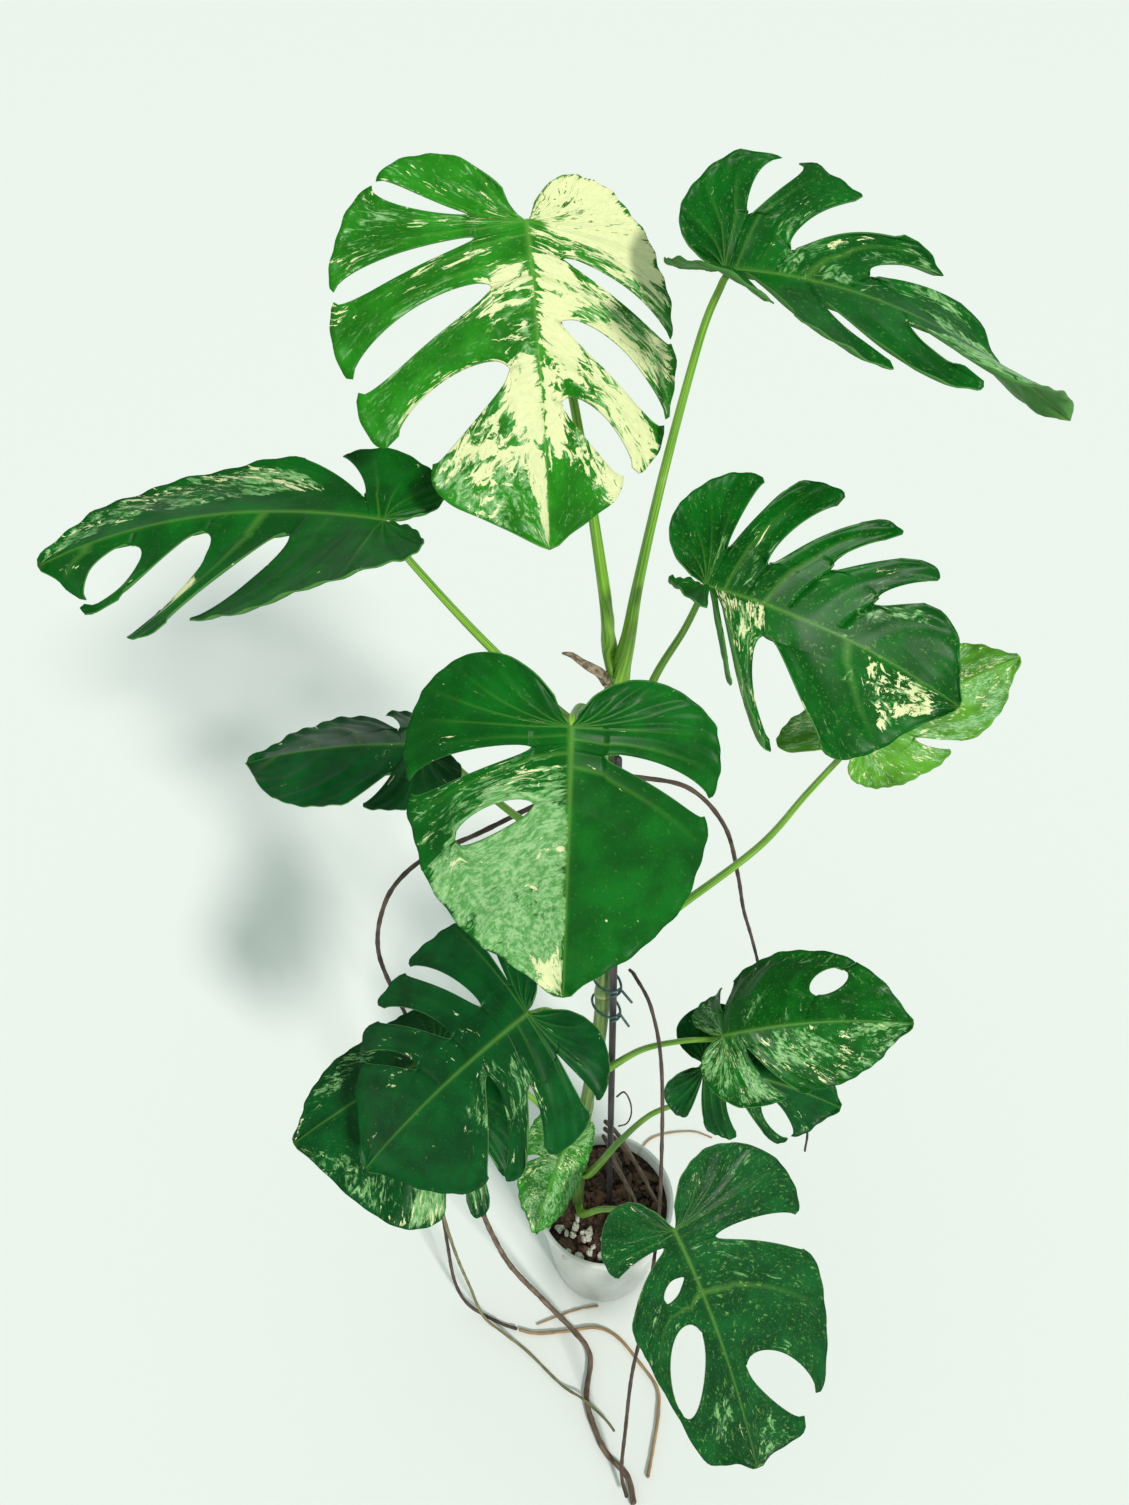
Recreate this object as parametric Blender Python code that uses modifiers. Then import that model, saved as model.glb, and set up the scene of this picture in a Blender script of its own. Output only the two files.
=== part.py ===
"""A climbing monstera in a nursery pot: leaves, petioles, stem, stake, ties, aerial roots and substrate.

Metres, +Z up. The origin is the centre of the pot's underside, and the plant's front faces -Y.
"""
import bmesh
import bpy
import numpy as np

# ---------------------------------------------------------------- driving sizes
GAP = 0.0004  # clearance between neighbouring pieces

PLANT_SCALE = 1.0  # every stem, root and leaf position is multiplied by this

POT_TOP_DIAMETER = 0.170
POT_TAPER = 0.76  # base diameter over top diameter
POT_HEIGHT = 0.165
POT_WALL = 0.0018
POT_LIP = 0.006
POT_LIP_HEIGHT = 0.012
SOIL_BELOW_RIM = 0.014

STAKE_DIAMETER = 0.007
STAKE_TOP = 0.925
STEM_DIAMETER = 0.014
STEM_TOP = 1.000
TIE_WIRE = 0.0026

BLADE_THICKNESS = 0.0016
PETIOLE_DIAMETER = 0.0075
RIM_SEGMENTS = 32

# ---------------------------------------------------------------- sizes that follow
SOIL_TOP = POT_HEIGHT - SOIL_BELOW_RIM
POT_BASE_DIAMETER = POT_TOP_DIAMETER * POT_TAPER

# ---------------------------------------------------------------- the leaves
# A slit is (angle from the tip, where it starts along its vein, widest opening, opening left at
# the margin as a share of the widest, where it ends). Angles and openings are in degrees, and
# the other numbers are shares of the vein's length. A half is (width, how far it runs back past the
# base, fold at the base, fold at the tip, curl at the margin, slits).
LEAVES = {
    "top_left": {
        "base": (-0.072, 0.069, 1.295), "tip": (-0.059, -0.040, 1.140), "bow": (0.004, -0.012, 0.004),
        "face": (0.06, -0.82, 0.57),
        "left": (1.08, 1.0, -4, -6, -6, [(112, .35, 9, .2, 1), (75, .23, 11, .25, 1),
                                         (51, .19, 12, .3, 1), (30, .20, 14, .7, 1)]),
        "right": (0.98, .65, -36, -30, -6, [(62, .19, 8, .2, 1), (40, .16, 9, .2, 1),
                                            (23, .19, 8, .4, 1)]),
        "petiole": [(-.0175, .0225, 1.0120), (-.0195, .0205, 1.040), (-.024, .022, 1.075),
                    (-.036, .042, 1.147), (-.054, .070, 1.233), (-.070, .078, 1.286)],
        "flare": 0.2,
    },
    "top_right": {
        "base": (0.042, 0.039, 1.278), "tip": (0.246, -0.012, 1.211), "bow": (0.0, 0.0, 0.040),
        "face": (0.06, -0.50, 0.86),
        "left": (0.50, .25, 55, 0, -40, [(72, .30, 8, .6, 1), (46, .35, 5, .7, 1),
                                         (27, .30, 9, .9, 1)]),
        "right": (0.55, .2, 22, -10, -40, [(78, .42, 12, .3, 1), (55, .25, 14, .9, 1),
                                           (37, .35, 12, .8, 1)]),
        "petiole": [(-.0085, .0135, 1.0020), (-.0040, .0155, 1.030), (.001, .018, 1.076),
                    (.014, .022, 1.160), (.031, .034, 1.240), (.041, .040, 1.268)],
        "twist": 95,
        "flare": 0.9,
    },
    "left": {
        "base": (-0.165, -0.003, 1.137), "tip": (-0.405, 0.012, 1.092), "bow": (0.0, 0.0, 0.042),
        "face": (-0.10, -0.20, 0.97),
        "left": (0.40, .3, 10, -26, -6, [(70, .30, 12, .8, 1)]),
        "right": (0.66, .1, 30, -8, -22, [(47, .22, 11, .6, 1), (28, .18, 14, .9, 1),
                                          (15, .22, 10, .2, 1)]),
        "petiole": [(-.026, -.002, .944), (-.064, -.008, .990), (-.108, -.012, 1.051),
                    (-.144, -.012, 1.104), (-.162, -.006, 1.128)],
        "twist": 45,
    },
    "right": {
        "base": (0.042, -0.015, 1.095), "tip": (0.216, -0.054, 1.024), "bow": (0.0, 0.0, 0.022),
        "face": (0.20, -0.50, 0.84),
        "left": (0.85, .15, 60, -34, -24, [(86, .20, 8, .9, 1), (72, .12, 8, .9, 1),
                                           (46, .22, 20, .8, 1)]),
        "right": (0.78, .55, 4, 20, 4, [(75, .32, 10, .8, 1), (53, .30, 10, .8, 1),
                                        (39, .50, 7, .9, 1), (26, .52, 7, .9, 1)]),
        "petiole": [(.003, .0, .940), (.014, .004, .997), (.032, -.004, 1.050), (.041, -.008, 1.082)],
    },
    "right_small": {
        "base": (0.166, -0.026, 0.968), "tip": (0.275, 0.004, 1.020), "bow": (0.0, 0.0, 0.010),
        "face": (-0.30, -0.50, 0.80),
        "left": (0.66, .6, -40, -35, -10, [(48, .45, 8, .8, 1)]),
        "right": (0.62, 2.2, -20, -16, -8, [(60, .45, 10, .8, 1)]),
        "petiole": [(.006, -.004, .690), (.054, -.010, .759), (.108, -.016, .839),
                    (.137, -.018, .903), (.160, -.022, .955)],
    },
    "centre": {
        "base": (-0.046, -0.144, 1.089), "tip": (-0.051, -0.224, 0.934), "bow": (0.0, -0.010, 0.006),
        "face": (0.0, -0.88, 0.47),
        "left": (1.00, 1.0, -10, -16, -10, [(66, .20, 12, .35, 1), (43, .20, 8, .0, .74)]),
        "right": (0.90, .45, -10, -16, -10, [(62, .20, 12, .5, 1)]),
        "petiole": [(-.018, -.006, .905), (-.026, -.040, .985), (-.038, -.095, 1.060),
                    (-.045, -.134, 1.088)],
    },
    "left_back": {
        "base": (-0.155, -0.007, 0.944), "tip": (-0.298, 0.005, 0.913), "bow": (0.0, 0.0, 0.014),
        "face": (-0.12, 0.16, 0.97),
        "left": (0.80, .9, -12, -10, -10, [(55, .40, 10, .8, 1)]),
        "right": (0.75, .9, -12, -10, -8, [(62, .45, 9, .8, 1)]),
        "petiole": [(-.026, .016, .800), (-.070, .010, .828), (-.108, .000, .880),
                    (-.146, -.006, .936)],
    },
    "lower_left": {
        "base": (-0.080, -0.108, 0.738), "tip": (-0.223, -0.168, 0.589), "bow": (-0.010, -0.010, 0.022),
        "face": (-0.38, -0.67, 0.64),
        "left": (0.90, .4, -20, -16, -14, [(90, .25, 8, .6, 1), (57, .25, 7, .4, 1),
                                           (40, .25, 7, .6, 1), (27, .35, 5, .5, 1)]),
        "right": (0.80, .6, -8, -10, -12, [(88, .38, 9, .6, 1), (58, .45, 8, .9, 1),
                                           (42, .18, 9, .6, 1)]),
        "petiole": [(-.024, -.012, .500), (-.036, -.045, .600), (-.060, -.085, .705),
                    (-.076, -.102, .730)],
    },
    "lower_left_back": {
        "base": (-0.166, -0.060, 0.600), "tip": (-0.302, -0.120, 0.540), "bow": (0.0, 0.0, 0.012),
        "face": (-0.24, -0.50, 0.84),
        "left": (0.55, 1.0, -18, -14, -10, [(60, .40, 8, .7, 1)]),
        "right": (1.52, 1.0, -4, -4, -6, [(86, .45, 12, .9, 1), (60, .40, 12, .9, 1)]),
        "petiole": [(-.041, .004, .316), (-.085, -.012, .430), (-.130, -.040, .555),
                    (-.158, -.056, .593)],
    },
    "at_pot": {
        "base": (-0.048, -0.060, 0.420), "tip": (-0.082, -0.094, 0.282), "bow": (-0.008, -0.010, 0.006),
        "face": (-0.35, -0.88, 0.30),
        "left": (0.55, 1.0, -30, -24, -10, [(50, .50, 6, .8, 1)]),
        "right": (0.34, 1.0, -30, -24, -10, []),
        "petiole": [(-.038, -.012, .235), (-.046, -.030, .320), (-.047, -.052, .412)],
    },
    "lower_right": {
        "base": (0.097, -0.050, 0.612), "tip": (0.282, -0.030, 0.600), "bow": (0.0, 0.0, 0.026),
        "face": (0.05, -0.40, 0.91),
        "left": (0.62, .3, 0, -34, -20, [(62, .20, 8, .6, 1)]),
        "right": (0.70, .2, -50, 2, -22, [(80, .45, 10, .6, 1), (30, .40, 10, .0, .85)]),
        "petiole": [(-.012, -.006, .470), (.025, -.022, .540), (.061, -.040, .586),
                    (.089, -.049, .604)],
    },
    "lower_right_under": {
        "base": (0.086, -0.043, 0.548), "tip": (0.226, -0.058, 0.492), "bow": (0.0, 0.0, 0.018),
        "face": (0.16, -0.40, 0.90),
        "left": (0.74, .9, -30, -24, -16, [(88, .15, 14, .9, 1), (50, .20, 18, .9, 1),
                                           (30, .30, 12, .2, 1)]),
        "right": (0.70, .8, 4, 0, -12, [(70, .40, 10, .8, 1), (40, .40, 10, .8, 1)]),
        "petiole": [(-.020, -.010, .250), (.012, -.020, .350), (.040, -.030, .425),
                    (.074, -.038, .475), (.082, -.042, .538)],
    },
    "bottom_right": {
        "base": (0.057, -0.154, 0.431), "tip": (0.146, -0.300, 0.208), "bow": (0.010, 0.008, 0.014),
        "face": (0.14, -0.80, 0.58),
        "left": (0.50, .5, -14, -16, -16, [(70, .20, 16, .95, 1), (50, .12, 6, .0, .45),
                                           (32, .20, 15, .0, .95)]),
        "right": (0.80, .75, -10, -12, -12, [(62, .25, 15, .8, 1), (20, .20, 13, .45, 1)]),
        "blunt": 0.14,
        "petiole": [(-.028, -.022, SOIL_TOP + .016), (-.008, -.050, .243), (.020, -.085, .320),
                    (.041, -.115, .376), (.053, -.148, .423)],
    },
}

# The outline of a full-width half blade: (angle from the tip, distance from the base).
HEART = [(150, .12), (141, .26), (128, .38), (110, .48), (90, .56), (70, .64), (52, .72), (36, .82),
         (22, .88), (10, .925), (4, .965), (0, 1.0)]
VEIN_CROWDING = 2.2  # how strongly the side veins crowd towards the base of the midrib
LOBE_ROUNDING = 0.14  # how much a lobe is shorter at its sides than along its middle
BLUNT_ANGLE = 20  # where a blade with a blunt end reaches out further, in degrees from its tip

# ---------------------------------------------------------------- stems and roots
# Each root is (thickness at its start, thickness at its end, points along it).
ROOTS = {
    "root_left_loop": (.0045, .0040, [(-.031, .022, .874), (-.075, .030, .838), (-.123, .030, .804),
                                      (-.173, .030, .771),
                                      (-.204, .030, .733), (-.220, .026, .695), (-.228, .024, .650),
                                      (-.226, .026, .600),
                                      (-.207, .014, .520), (-.195, -.015, .420),
                                      (-.192, -.045, .300), (-.191, -.055, .158),
                                      (-.188, -.062, .060), (-.172, -.073, .014),
                                      (-.134, -.090, .0030), (-.110, -.098, .0030)]),
    "root_floor_tan": (.0040, .0040, [(-.108, -.0985, .0030), (-.084, -.103, .0025),
                                      (-.046, -.100, .0025), (-.010, -.096, .0025),
                                      (.018, -.108, .0025), (.045, -.139, .0025),
                                      (.064, -.166, .0025), (.064, -.193, .0025),
                                      (.055, -.233, .0025), (.047, -.262, .0025)]),
    "root_olive": (.0040, .0030, [(-.187, -.074, .410), (-.184, -.082, .320), (-.176, -.088, .220),
                                  (-.166, -.082, .100),
                                  (-.152, -.092, .030), (-.126, -.106, .0110),
                                  (-.095, -.126, .0030), (-.054, -.163, .0040),
                                  (-.026, -.182, .0120), (-.001, -.203, .0110), (.010, -.216, .0110)]),
    "root_thick": (.0056, .0070, [(-.150, -.066, .330), (-.134, -.070, .225), (-.115, -.075, .146),
                                  (-.078, -.082, .060),
                                  (-.040, -.103, .016), (-.018, -.130, .0050),
                                  (-.023, -.178, .0040), (-.013, -.213, .0040),
                                  (.0, -.237, .0040), (.024, -.261, .0040), (.030, -.289, .0036)]),
    "root_front_drop": (.0034, .0044, [(.0115, .003, .641), (.016, -.012, .651),
                                       (.029, -.048, .652), (.039, -.080, .602),
                                       (.044, -.120, .465), (.042, -.150, .361),
                                       (.035, -.178, .270), (.024, -.205, .175),
                                       (.019, -.235, .086), (.016, -.262, .024), (.022, -.284, .0120)]),
    "root_right_hanging": (.0040, .0026, [(.003, .024, .880), (.051, .022, .868),
                                          (.084, .014, .830), (.105, .028, .750),
                                          (.121, .048, .674), (.140, .062, .602),
                                          (.176, .060, .470), (.204, .024, .388),
                                          (.224, .002, .338), (.226, -.008, .300)]),
    "root_drain_back": (.0030, .0022, [(.052, .062, .0020), (.055, .100, .0016),
                                       (.058, .140, .0016), (.081, .164, .0016),
                                       (.132, .172, .0014), (.163, .162, .0014)]),
    "root_drain_front": (.0028, .0020, [(-.006, -.0690, .0018), (-.030, -.073, .0016),
                                        (-.056, -.081, .0016), (-.086, -.092, .0014)]),
    "root_fan_1": (.0052, .0040, [(-.004, .0170, .325), (.014, .016, .290), (.040, .006, .225),
                                  (.064, -.006, SOIL_TOP + .012),
                                  (.0695, -.010, SOIL_TOP + .0032)]),
    "root_fan_2": (.0052, .0040, [(-.004, .0170, .308), (.016, .020, .262), (.040, .022, .200),
                                  (.056, .022, SOIL_TOP + .0032)]),
    "root_fan_3": (.0048, .0036, [(.002, -.0075, .300), (.016, -.012, .255), (.034, -.018, .200),
                                  (.044, -.026, SOIL_TOP + .0032)]),
    "root_fan_4": (.0048, .0036, [(-.005, .0170, .290), (.006, .024, .240), (.018, .034, .190),
                                  (.022, .040, SOIL_TOP + .0032)]),
    "root_fan_5": (.0044, .0034, [(.006, -.0090, .272), (.016, -.004, .235), (.027, -.002, .190),
                                  (.032, -.004, SOIL_TOP + .0032)]),
    "root_curl": (.0020, .0016, [(.0062, -.003, .415), (.014, -.006, .430), (.021, -.008, .412),
                                 (.023, -.008, .386),
                                 (.019, -.006, .362), (.010, -.004, .352)]),
}

STEM = [(-.033, .0, SOIL_TOP - .030), (-.033, .0, .200), (-.030, .0, .300), (-.026, .002, .386),
        (-.018, .008, .470),
        (-.013, .0130, .540), (-.012, .0140, .600), (-.012, .0140, .700), (-.013, .0140, .800),
        (-.014, .0140, .900),
        (-.014, .0140, .960), (-.013, .0130, STEM_TOP)]
STAKE = [(.008, .0, .030), (-.009, .0, STAKE_TOP)]


# ---------------------------------------------------------------- the scene
for old in list(bpy.data.objects):
    bpy.data.objects.remove(old)

PLANT = bpy.data.collections.new("potted_monstera")
CUTTERS = bpy.data.collections.new("cutters")
CUTTERS.hide_render = True
for folder in (PLANT, CUTTERS):
    bpy.context.scene.collection.children.link(folder)


def material(name, colour, roughness):
    mat = bpy.data.materials.new(name)
    mat.use_nodes = True
    shader = mat.node_tree.nodes["Principled BSDF"]
    shader.inputs["Base Color"].default_value = (*colour, 1)
    shader.inputs["Roughness"].default_value = roughness
    return mat


def add(name, data, mat):
    obj = bpy.data.objects.new(name, data)
    data.materials.append(mat)
    PLANT.objects.link(obj)
    return obj


def make_cutter(obj):
    PLANT.objects.unlink(obj)
    CUTTERS.objects.link(obj)
    obj.hide_render = True
    obj.display_type = "WIRE"
    return obj


# ---------------------------------------------------------------- curves
def unit(v):
    return v / np.linalg.norm(v, axis=-1, keepdims=True)


def smooth_path(points, steps):
    """A Catmull-Rom curve through the points, with this many samples from each to the next."""
    p = np.asarray(points, float)
    p = np.vstack([2 * p[0] - p[1], p, 2 * p[-1] - p[-2]])
    u = np.linspace(0, 1, steps, endpoint=False)[None, :, None]
    a, b, c, d = p[:-3, None], p[1:-2, None], p[2:-1, None], p[3:, None]
    path = 0.5 * (2 * b + (c - a) * u + (2 * a - 5 * b + 4 * c - d) * u**2 + (3 * b - a - 3 * c + d) * u**3)
    return np.vstack([path.reshape(-1, 3), p[-2]])


def along(path):
    """How far along the path each of its points is, from 0 to 1."""
    far = np.concatenate([[0], np.cumsum(np.linalg.norm(np.diff(path, axis=0), axis=1))])
    return far / far[-1]


def tube(name, path, radii, mat, resolution=2):
    """A round wire along the path, with capped ends."""
    curve = bpy.data.curves.new(name, "CURVE")
    curve.dimensions = "3D"
    curve.bevel_depth = 1.0
    curve.bevel_resolution = resolution
    curve.use_fill_caps = True
    line = curve.splines.new("POLY")
    line.points.add(len(path) - 1)
    for spot, place, radius in zip(line.points, path, radii):
        spot.co = (*place, 1)
        spot.radius = radius
    return add(name, curve, mat)


# ---------------------------------------------------------------- leaf blades
def smooth_line(xs, ys, x):
    """A smooth curve through the points (xs, ys), read at x."""
    xs, ys = np.asarray(xs, float)[::-1], np.asarray(ys, float)[::-1]
    slope = np.gradient(ys, xs)
    i = np.clip(np.searchsorted(xs, x) - 1, 0, len(xs) - 2)
    h = xs[i + 1] - xs[i]
    t = (x - xs[i]) / h
    rise = (2 * t**3 - 3 * t**2 + 1) * ys[i] + (3 * t**2 - 2 * t**3) * ys[i + 1]
    return rise + h * ((t**3 - 2 * t**2 + t) * slope[i] + (t**3 - t**2) * slope[i + 1])


def opening(t, slit):
    """How far open the slit is at each share t along its vein, in degrees. It opens as a square root
    from its inner end, so that end is round; one that ends before the margin closes the same way."""
    _, start, wide, left, end = slit
    u = np.clip((t - start) / (end - start), 0, 1)
    if end < 1:
        return wide * 2 * np.sqrt(u * (1 - u))
    return wide * ((1 - left) * 2 * np.sqrt(u * (1 - u)) + left * np.sqrt(u))


def lobe_end(q, a, b):
    """How much shorter a lobe is towards its sides, so that its end is round. Only a side with a slit
    that reaches the margin is shortened."""
    towards_base = np.clip(1 - 2 * q, 0, 1) * (a[2] > 0 and a[4] == 1)
    towards_tip = np.clip(2 * q - 1, 0, 1) * (b[2] > 0 and b[4] == 1)
    base_side = a[3] * (1 - np.sqrt(1 - towards_base**2.5))
    tip_side = b[3] * (1 - np.sqrt(1 - towards_tip**4))
    return 1 - LOBE_ROUNDING * (base_side + tip_side)


def midrib(leaf):
    """Points along the midrib, with its direction, the way the blade faces and its right, at each. A
    twist turns the blade about its midrib, more towards the tip."""
    base, tip = np.array(leaf["base"]), np.array(leaf["tip"])
    top = (base + tip) / 2 + np.array(leaf["bow"])
    k = np.linspace(0, 1, 81)[:, None]
    place = (1 - k)**2 * base + 2 * k * (1 - k) * top + k**2 * tip
    ahead = unit((1 - k) * (top - base) + k * (tip - top))
    face = np.array(leaf["face"])
    up = unit(face - (ahead @ face)[:, None] * ahead)
    turn = np.radians(leaf.get("twist", 0)) * k**2
    up = up * np.cos(turn) + np.cross(up, ahead) * np.sin(turn)
    far = np.concatenate([[0], np.cumsum(np.linalg.norm(np.diff(place, axis=0), axis=1))])
    return far, place, ahead, up, np.cross(up, ahead)


def read(far, table, y):
    return np.stack([np.interp(y, far, table[:, i]) for i in range(3)], -1)


def half_blade(line, half, side, angles, t, blunt):
    """The lobes of one half, as arrays of points: rows go out along the veins, columns from base to tip."""
    far, place, ahead, up, right = line
    length = far[-1]
    wide, back, fold_base, fold_tip, curl, slits = half
    reach_at, reach = [a for a, _ in HEART], [r for _, r in HEART]
    ends = [(max(angles), 0, 0, 0, 1)] + sorted(slits, reverse=True) + [(0, 0, 0, 0, 1)]
    lobes = []
    for a, b in zip(ends, ends[1:]):
        own = angles[(angles <= a[0]) & (angles >= b[0])]
        q = (a[0] - own) / (a[0] - b[0])
        first = a[0] - opening(t, a) / 2
        last = b[0] + opening(t, b) / 2
        theta = first[:, None] * (1 - q) + last[:, None] * q
        r = smooth_line(reach_at, reach, theta) * length * lobe_end(q, a, b)
        r = r * (1 + blunt * np.exp(-((theta - BLUNT_ANGLE) / 12)**2))
        r = r * (1 + (back - 1) * np.clip(theta / 60 - 1.5, 0, 1))
        out_x, out_y = wide * r * np.sin(np.radians(theta)), r * np.cos(np.radians(theta))
        foot = length * np.clip(1 - theta / 90, 0, 1)**VEIN_CROWDING
        foot = foot[:1] + (foot - foot[:1]) * np.minimum(t[:, None] * 4, 1)
        s = t[:, None]
        x = 2 * s * (1 - s) * 0.6 * out_x + s**2 * out_x
        y = (1 - s)**2 * foot + 2 * s * (1 - s) * (foot + 0.2 * (out_y - foot)) + s**2 * out_y
        bend = fold_tip + (fold_base - fold_tip) * np.exp(-5 * np.clip(y / length, 0, 1))
        bend = bend + curl * (2 * x / length)**2
        bend = np.radians((bend[1:] + bend[:-1]) / 2)
        level = np.clip((y[1:] + y[:-1]) / 2, 0, length)
        dx, dy = np.diff(x, axis=0)[..., None], np.diff(y, axis=0)[..., None]
        sideways = side * np.cos(bend)[..., None] * read(far, right, level)
        sideways = sideways + np.sin(bend)[..., None] * read(far, up, level)
        step = dy * read(far, ahead, level) + dx * sideways
        start = read(far, place, foot[:1])
        lobes.append(np.concatenate([start, start + np.cumsum(step, axis=0)]))
    return lobes


def blade(name, leaf, mat, spacing=3.5, rows=4):
    """The blade as one sheet of lobes joined along their inner parts, given its thickness."""
    line = midrib(leaf)
    slits = leaf["left"][-1] + leaf["right"][-1]
    fixed = sorted({150.0, 90.0, 0.0} | {float(s[0]) for s in slits}, reverse=True)
    angles = list(fixed)
    for side_slits in (leaf["left"][-1], leaf["right"][-1]):
        edges = [150.0] + sorted((float(s[0]) for s in side_slits), reverse=True) + [0.0]
        for a, b in zip(edges, edges[1:]):
            for share in (.12, .5, .88) if a - b < 30 else (.08, .25, .5, .75, .92):
                angle = a + (b - a) * share
                if min(abs(angle - other) for other in angles) > spacing:
                    angles.append(angle)
    angles = np.array(sorted(angles, reverse=True))
    mesh = bmesh.new()
    for side, half in ((-1, leaf["left"]), (1, leaf["right"])):
        marks = {round(v, 3) for s in half[-1] for v in (s[1], s[1] + 0.04, min(s[4], 1))}
        even = [v for v in np.linspace(0, 1, rows + 1) if min([abs(v - m) for m in marks] + [1]) > 0.03]
        t = np.array(sorted(set(even) | marks | {0.0, 1.0}))
        for points in half_blade(line, half, side, angles, t, leaf.get("blunt", 0)):
            rows_n, columns_n = points.shape[:2]
            corners = [[mesh.verts.new(p) for p in row] for row in points]
            for i in range(rows_n - 1):
                for j in range(columns_n - 1):
                    face = [corners[i][j], corners[i][j + 1], corners[i + 1][j + 1], corners[i + 1][j]]
                    mesh.faces.new(face if side < 0 else face[::-1])
    bmesh.ops.remove_doubles(mesh, verts=mesh.verts, dist=0.00002)
    bmesh.ops.dissolve_degenerate(mesh, edges=mesh.edges, dist=0.00002)
    bmesh.ops.recalc_face_normals(mesh, faces=mesh.faces)
    data = bpy.data.meshes.new(name)
    mesh.to_mesh(data)
    mesh.free()
    obj = add(name, data, mat)
    thick = obj.modifiers.new("thickness", "SOLIDIFY")
    thick.thickness = BLADE_THICKNESS
    thick.offset = 0
    return obj


# ---------------------------------------------------------------- build
LEAF = material("leaf_green", (0.02, 0.16, 0.03), 0.35)
STALK = material("stalk_green", (0.14, 0.32, 0.05), 0.4)
BARK = material("root_brown", (0.10, 0.07, 0.05), 0.7)
SOIL = material("substrate_brown", (0.06, 0.035, 0.025), 0.95)
PLASTIC = material("pot_plastic", (0.80, 0.83, 0.80), 0.3)
POLE = material("stake_dark", (0.035, 0.025, 0.03), 0.5)
WIRE = material("tie_green", (0.02, 0.07, 0.06), 0.4)
HUSK = material("husk_brown", (0.25, 0.17, 0.10), 0.8)


def lathe(name, profile, mat, segments=RIM_SEGMENTS):
    """The closed profile of (radius, height) turned about the Z axis."""
    data = bpy.data.meshes.new(name)
    data.from_pydata([(r, 0, z) for r, z in profile], [(i, i + 1) for i in range(len(profile) - 1)], [])
    obj = add(name, data, mat)
    turn = obj.modifiers.new("turn", "SCREW")
    turn.axis = "Z"
    turn.steps = segments
    turn.render_steps = segments
    turn.use_merge_vertices = True
    turn.merge_threshold = 0.00001
    turn.use_normal_calculate = True
    return obj


top, low, wall = POT_TOP_DIAMETER / 2, POT_BASE_DIAMETER / 2, POT_WALL


def pot_radius(z):
    """The pot's outer radius under the lip, at this height."""
    return low + (top - POT_LIP / 2 - low) * z / POT_HEIGHT


under_lip = POT_HEIGHT - POT_LIP_HEIGHT
lathe("pot", [(0, 0), (low, 0), (pot_radius(under_lip), under_lip), (top, under_lip + .002),
              (top, POT_HEIGHT - .001),
              (top - .001, POT_HEIGHT), (pot_radius(POT_HEIGHT) - wall, POT_HEIGHT),
              (low - wall, wall), (0, wall)], PLASTIC)

inset = wall + GAP
soil = lathe("substrate", [(0, wall + GAP), (low - inset - .001, wall + GAP),
                           (pot_radius(SOIL_TOP) - inset - .0005, SOIL_TOP - .003),
                           (pot_radius(SOIL_TOP) - inset - .006, SOIL_TOP), (0, SOIL_TOP)], SOIL)


def grown(points):
    """The points scaled with the plant, keeping those in the substrate where they are."""
    p = np.asarray(points, float)
    near = p[:, 2:] < SOIL_TOP + .020
    return np.where(near, p, p * PLANT_SCALE)


def bore(name, path, radius):
    """A cutter through the substrate, for what stands in it."""
    body = tube(name, path, [radius + GAP] * len(path), SOIL)
    graph = bpy.context.evaluated_depsgraph_get()
    data = bpy.data.meshes.new_from_object(body.evaluated_get(graph))
    bpy.data.objects.remove(body)
    cutter = make_cutter(add(name, data, SOIL))
    cut = soil.modifiers.new(name, "BOOLEAN")
    cut.operation = "DIFFERENCE"
    cut.solver = "EXACT"
    cut.object = cutter


stake = np.array(STAKE)
tube("stake", stake, [STAKE_DIAMETER / 2] * 2, POLE, 3)
ahead = unit(stake[1] - stake[0])
bore("stake_bore", [stake[0] - ahead * GAP, stake[0] + ahead * POT_HEIGHT], STAKE_DIAMETER / 2)

stem = smooth_path(grown(STEM), 4)
share = along(stem)
swell = 1 + 0.16 * np.exp(-((share[:, None] - np.array([.16, .30, .42, .53, .64, .74, .84,
                                                        .95])) / .012)**2).sum(1)
stem_radius = STEM_DIAMETER / 2 * (1.06 - .05 * share) * swell
tube("stem", stem, stem_radius, STALK, 3)
foot = stem[0]
above_soil = np.searchsorted(stem[:, 2], SOIL_TOP + GAP)
bore("stem_bore", np.vstack([foot - (0, 0, GAP), stem[1:above_soil + 2]]), STEM_DIAMETER / 2 * 1.14)


def beside_stem(path, radius):
    """The path of a stalk moved out where it would come nearer to the stem than the clearance."""
    axis = np.stack([np.interp(path[:, 2], stem[:, 2], stem[:, i]) for i in (0, 1)], -1)
    away = path[:, :2] - axis
    apart = np.linalg.norm(away, axis=1)
    needed = np.interp(path[:, 2], stem[:, 2], stem_radius) + radius + GAP
    out = np.maximum(needed / np.maximum(apart, 1e-6), 1)
    out[path[:, 2] > stem[-1, 2]] = 1
    moved = path.copy()
    moved[:, :2] = axis + away * out[:, None]
    return moved


for name, leaf in LEAVES.items():
    leaf = dict(leaf)
    for key in ("base", "tip", "bow"):
        leaf[key] = tuple(PLANT_SCALE * v for v in leaf[key])
    blade("blade_" + name, leaf, LEAF)
    path = smooth_path(grown(leaf["petiole"]), 3)
    share = along(path)
    flare = leaf.get("flare", 0) * np.exp(-share / .12)
    radius = PETIOLE_DIAMETER / 2 * (1.25 + flare - .65 * share**.6)
    tube("petiole_" + name, beside_stem(path, radius), radius, STALK)

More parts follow.
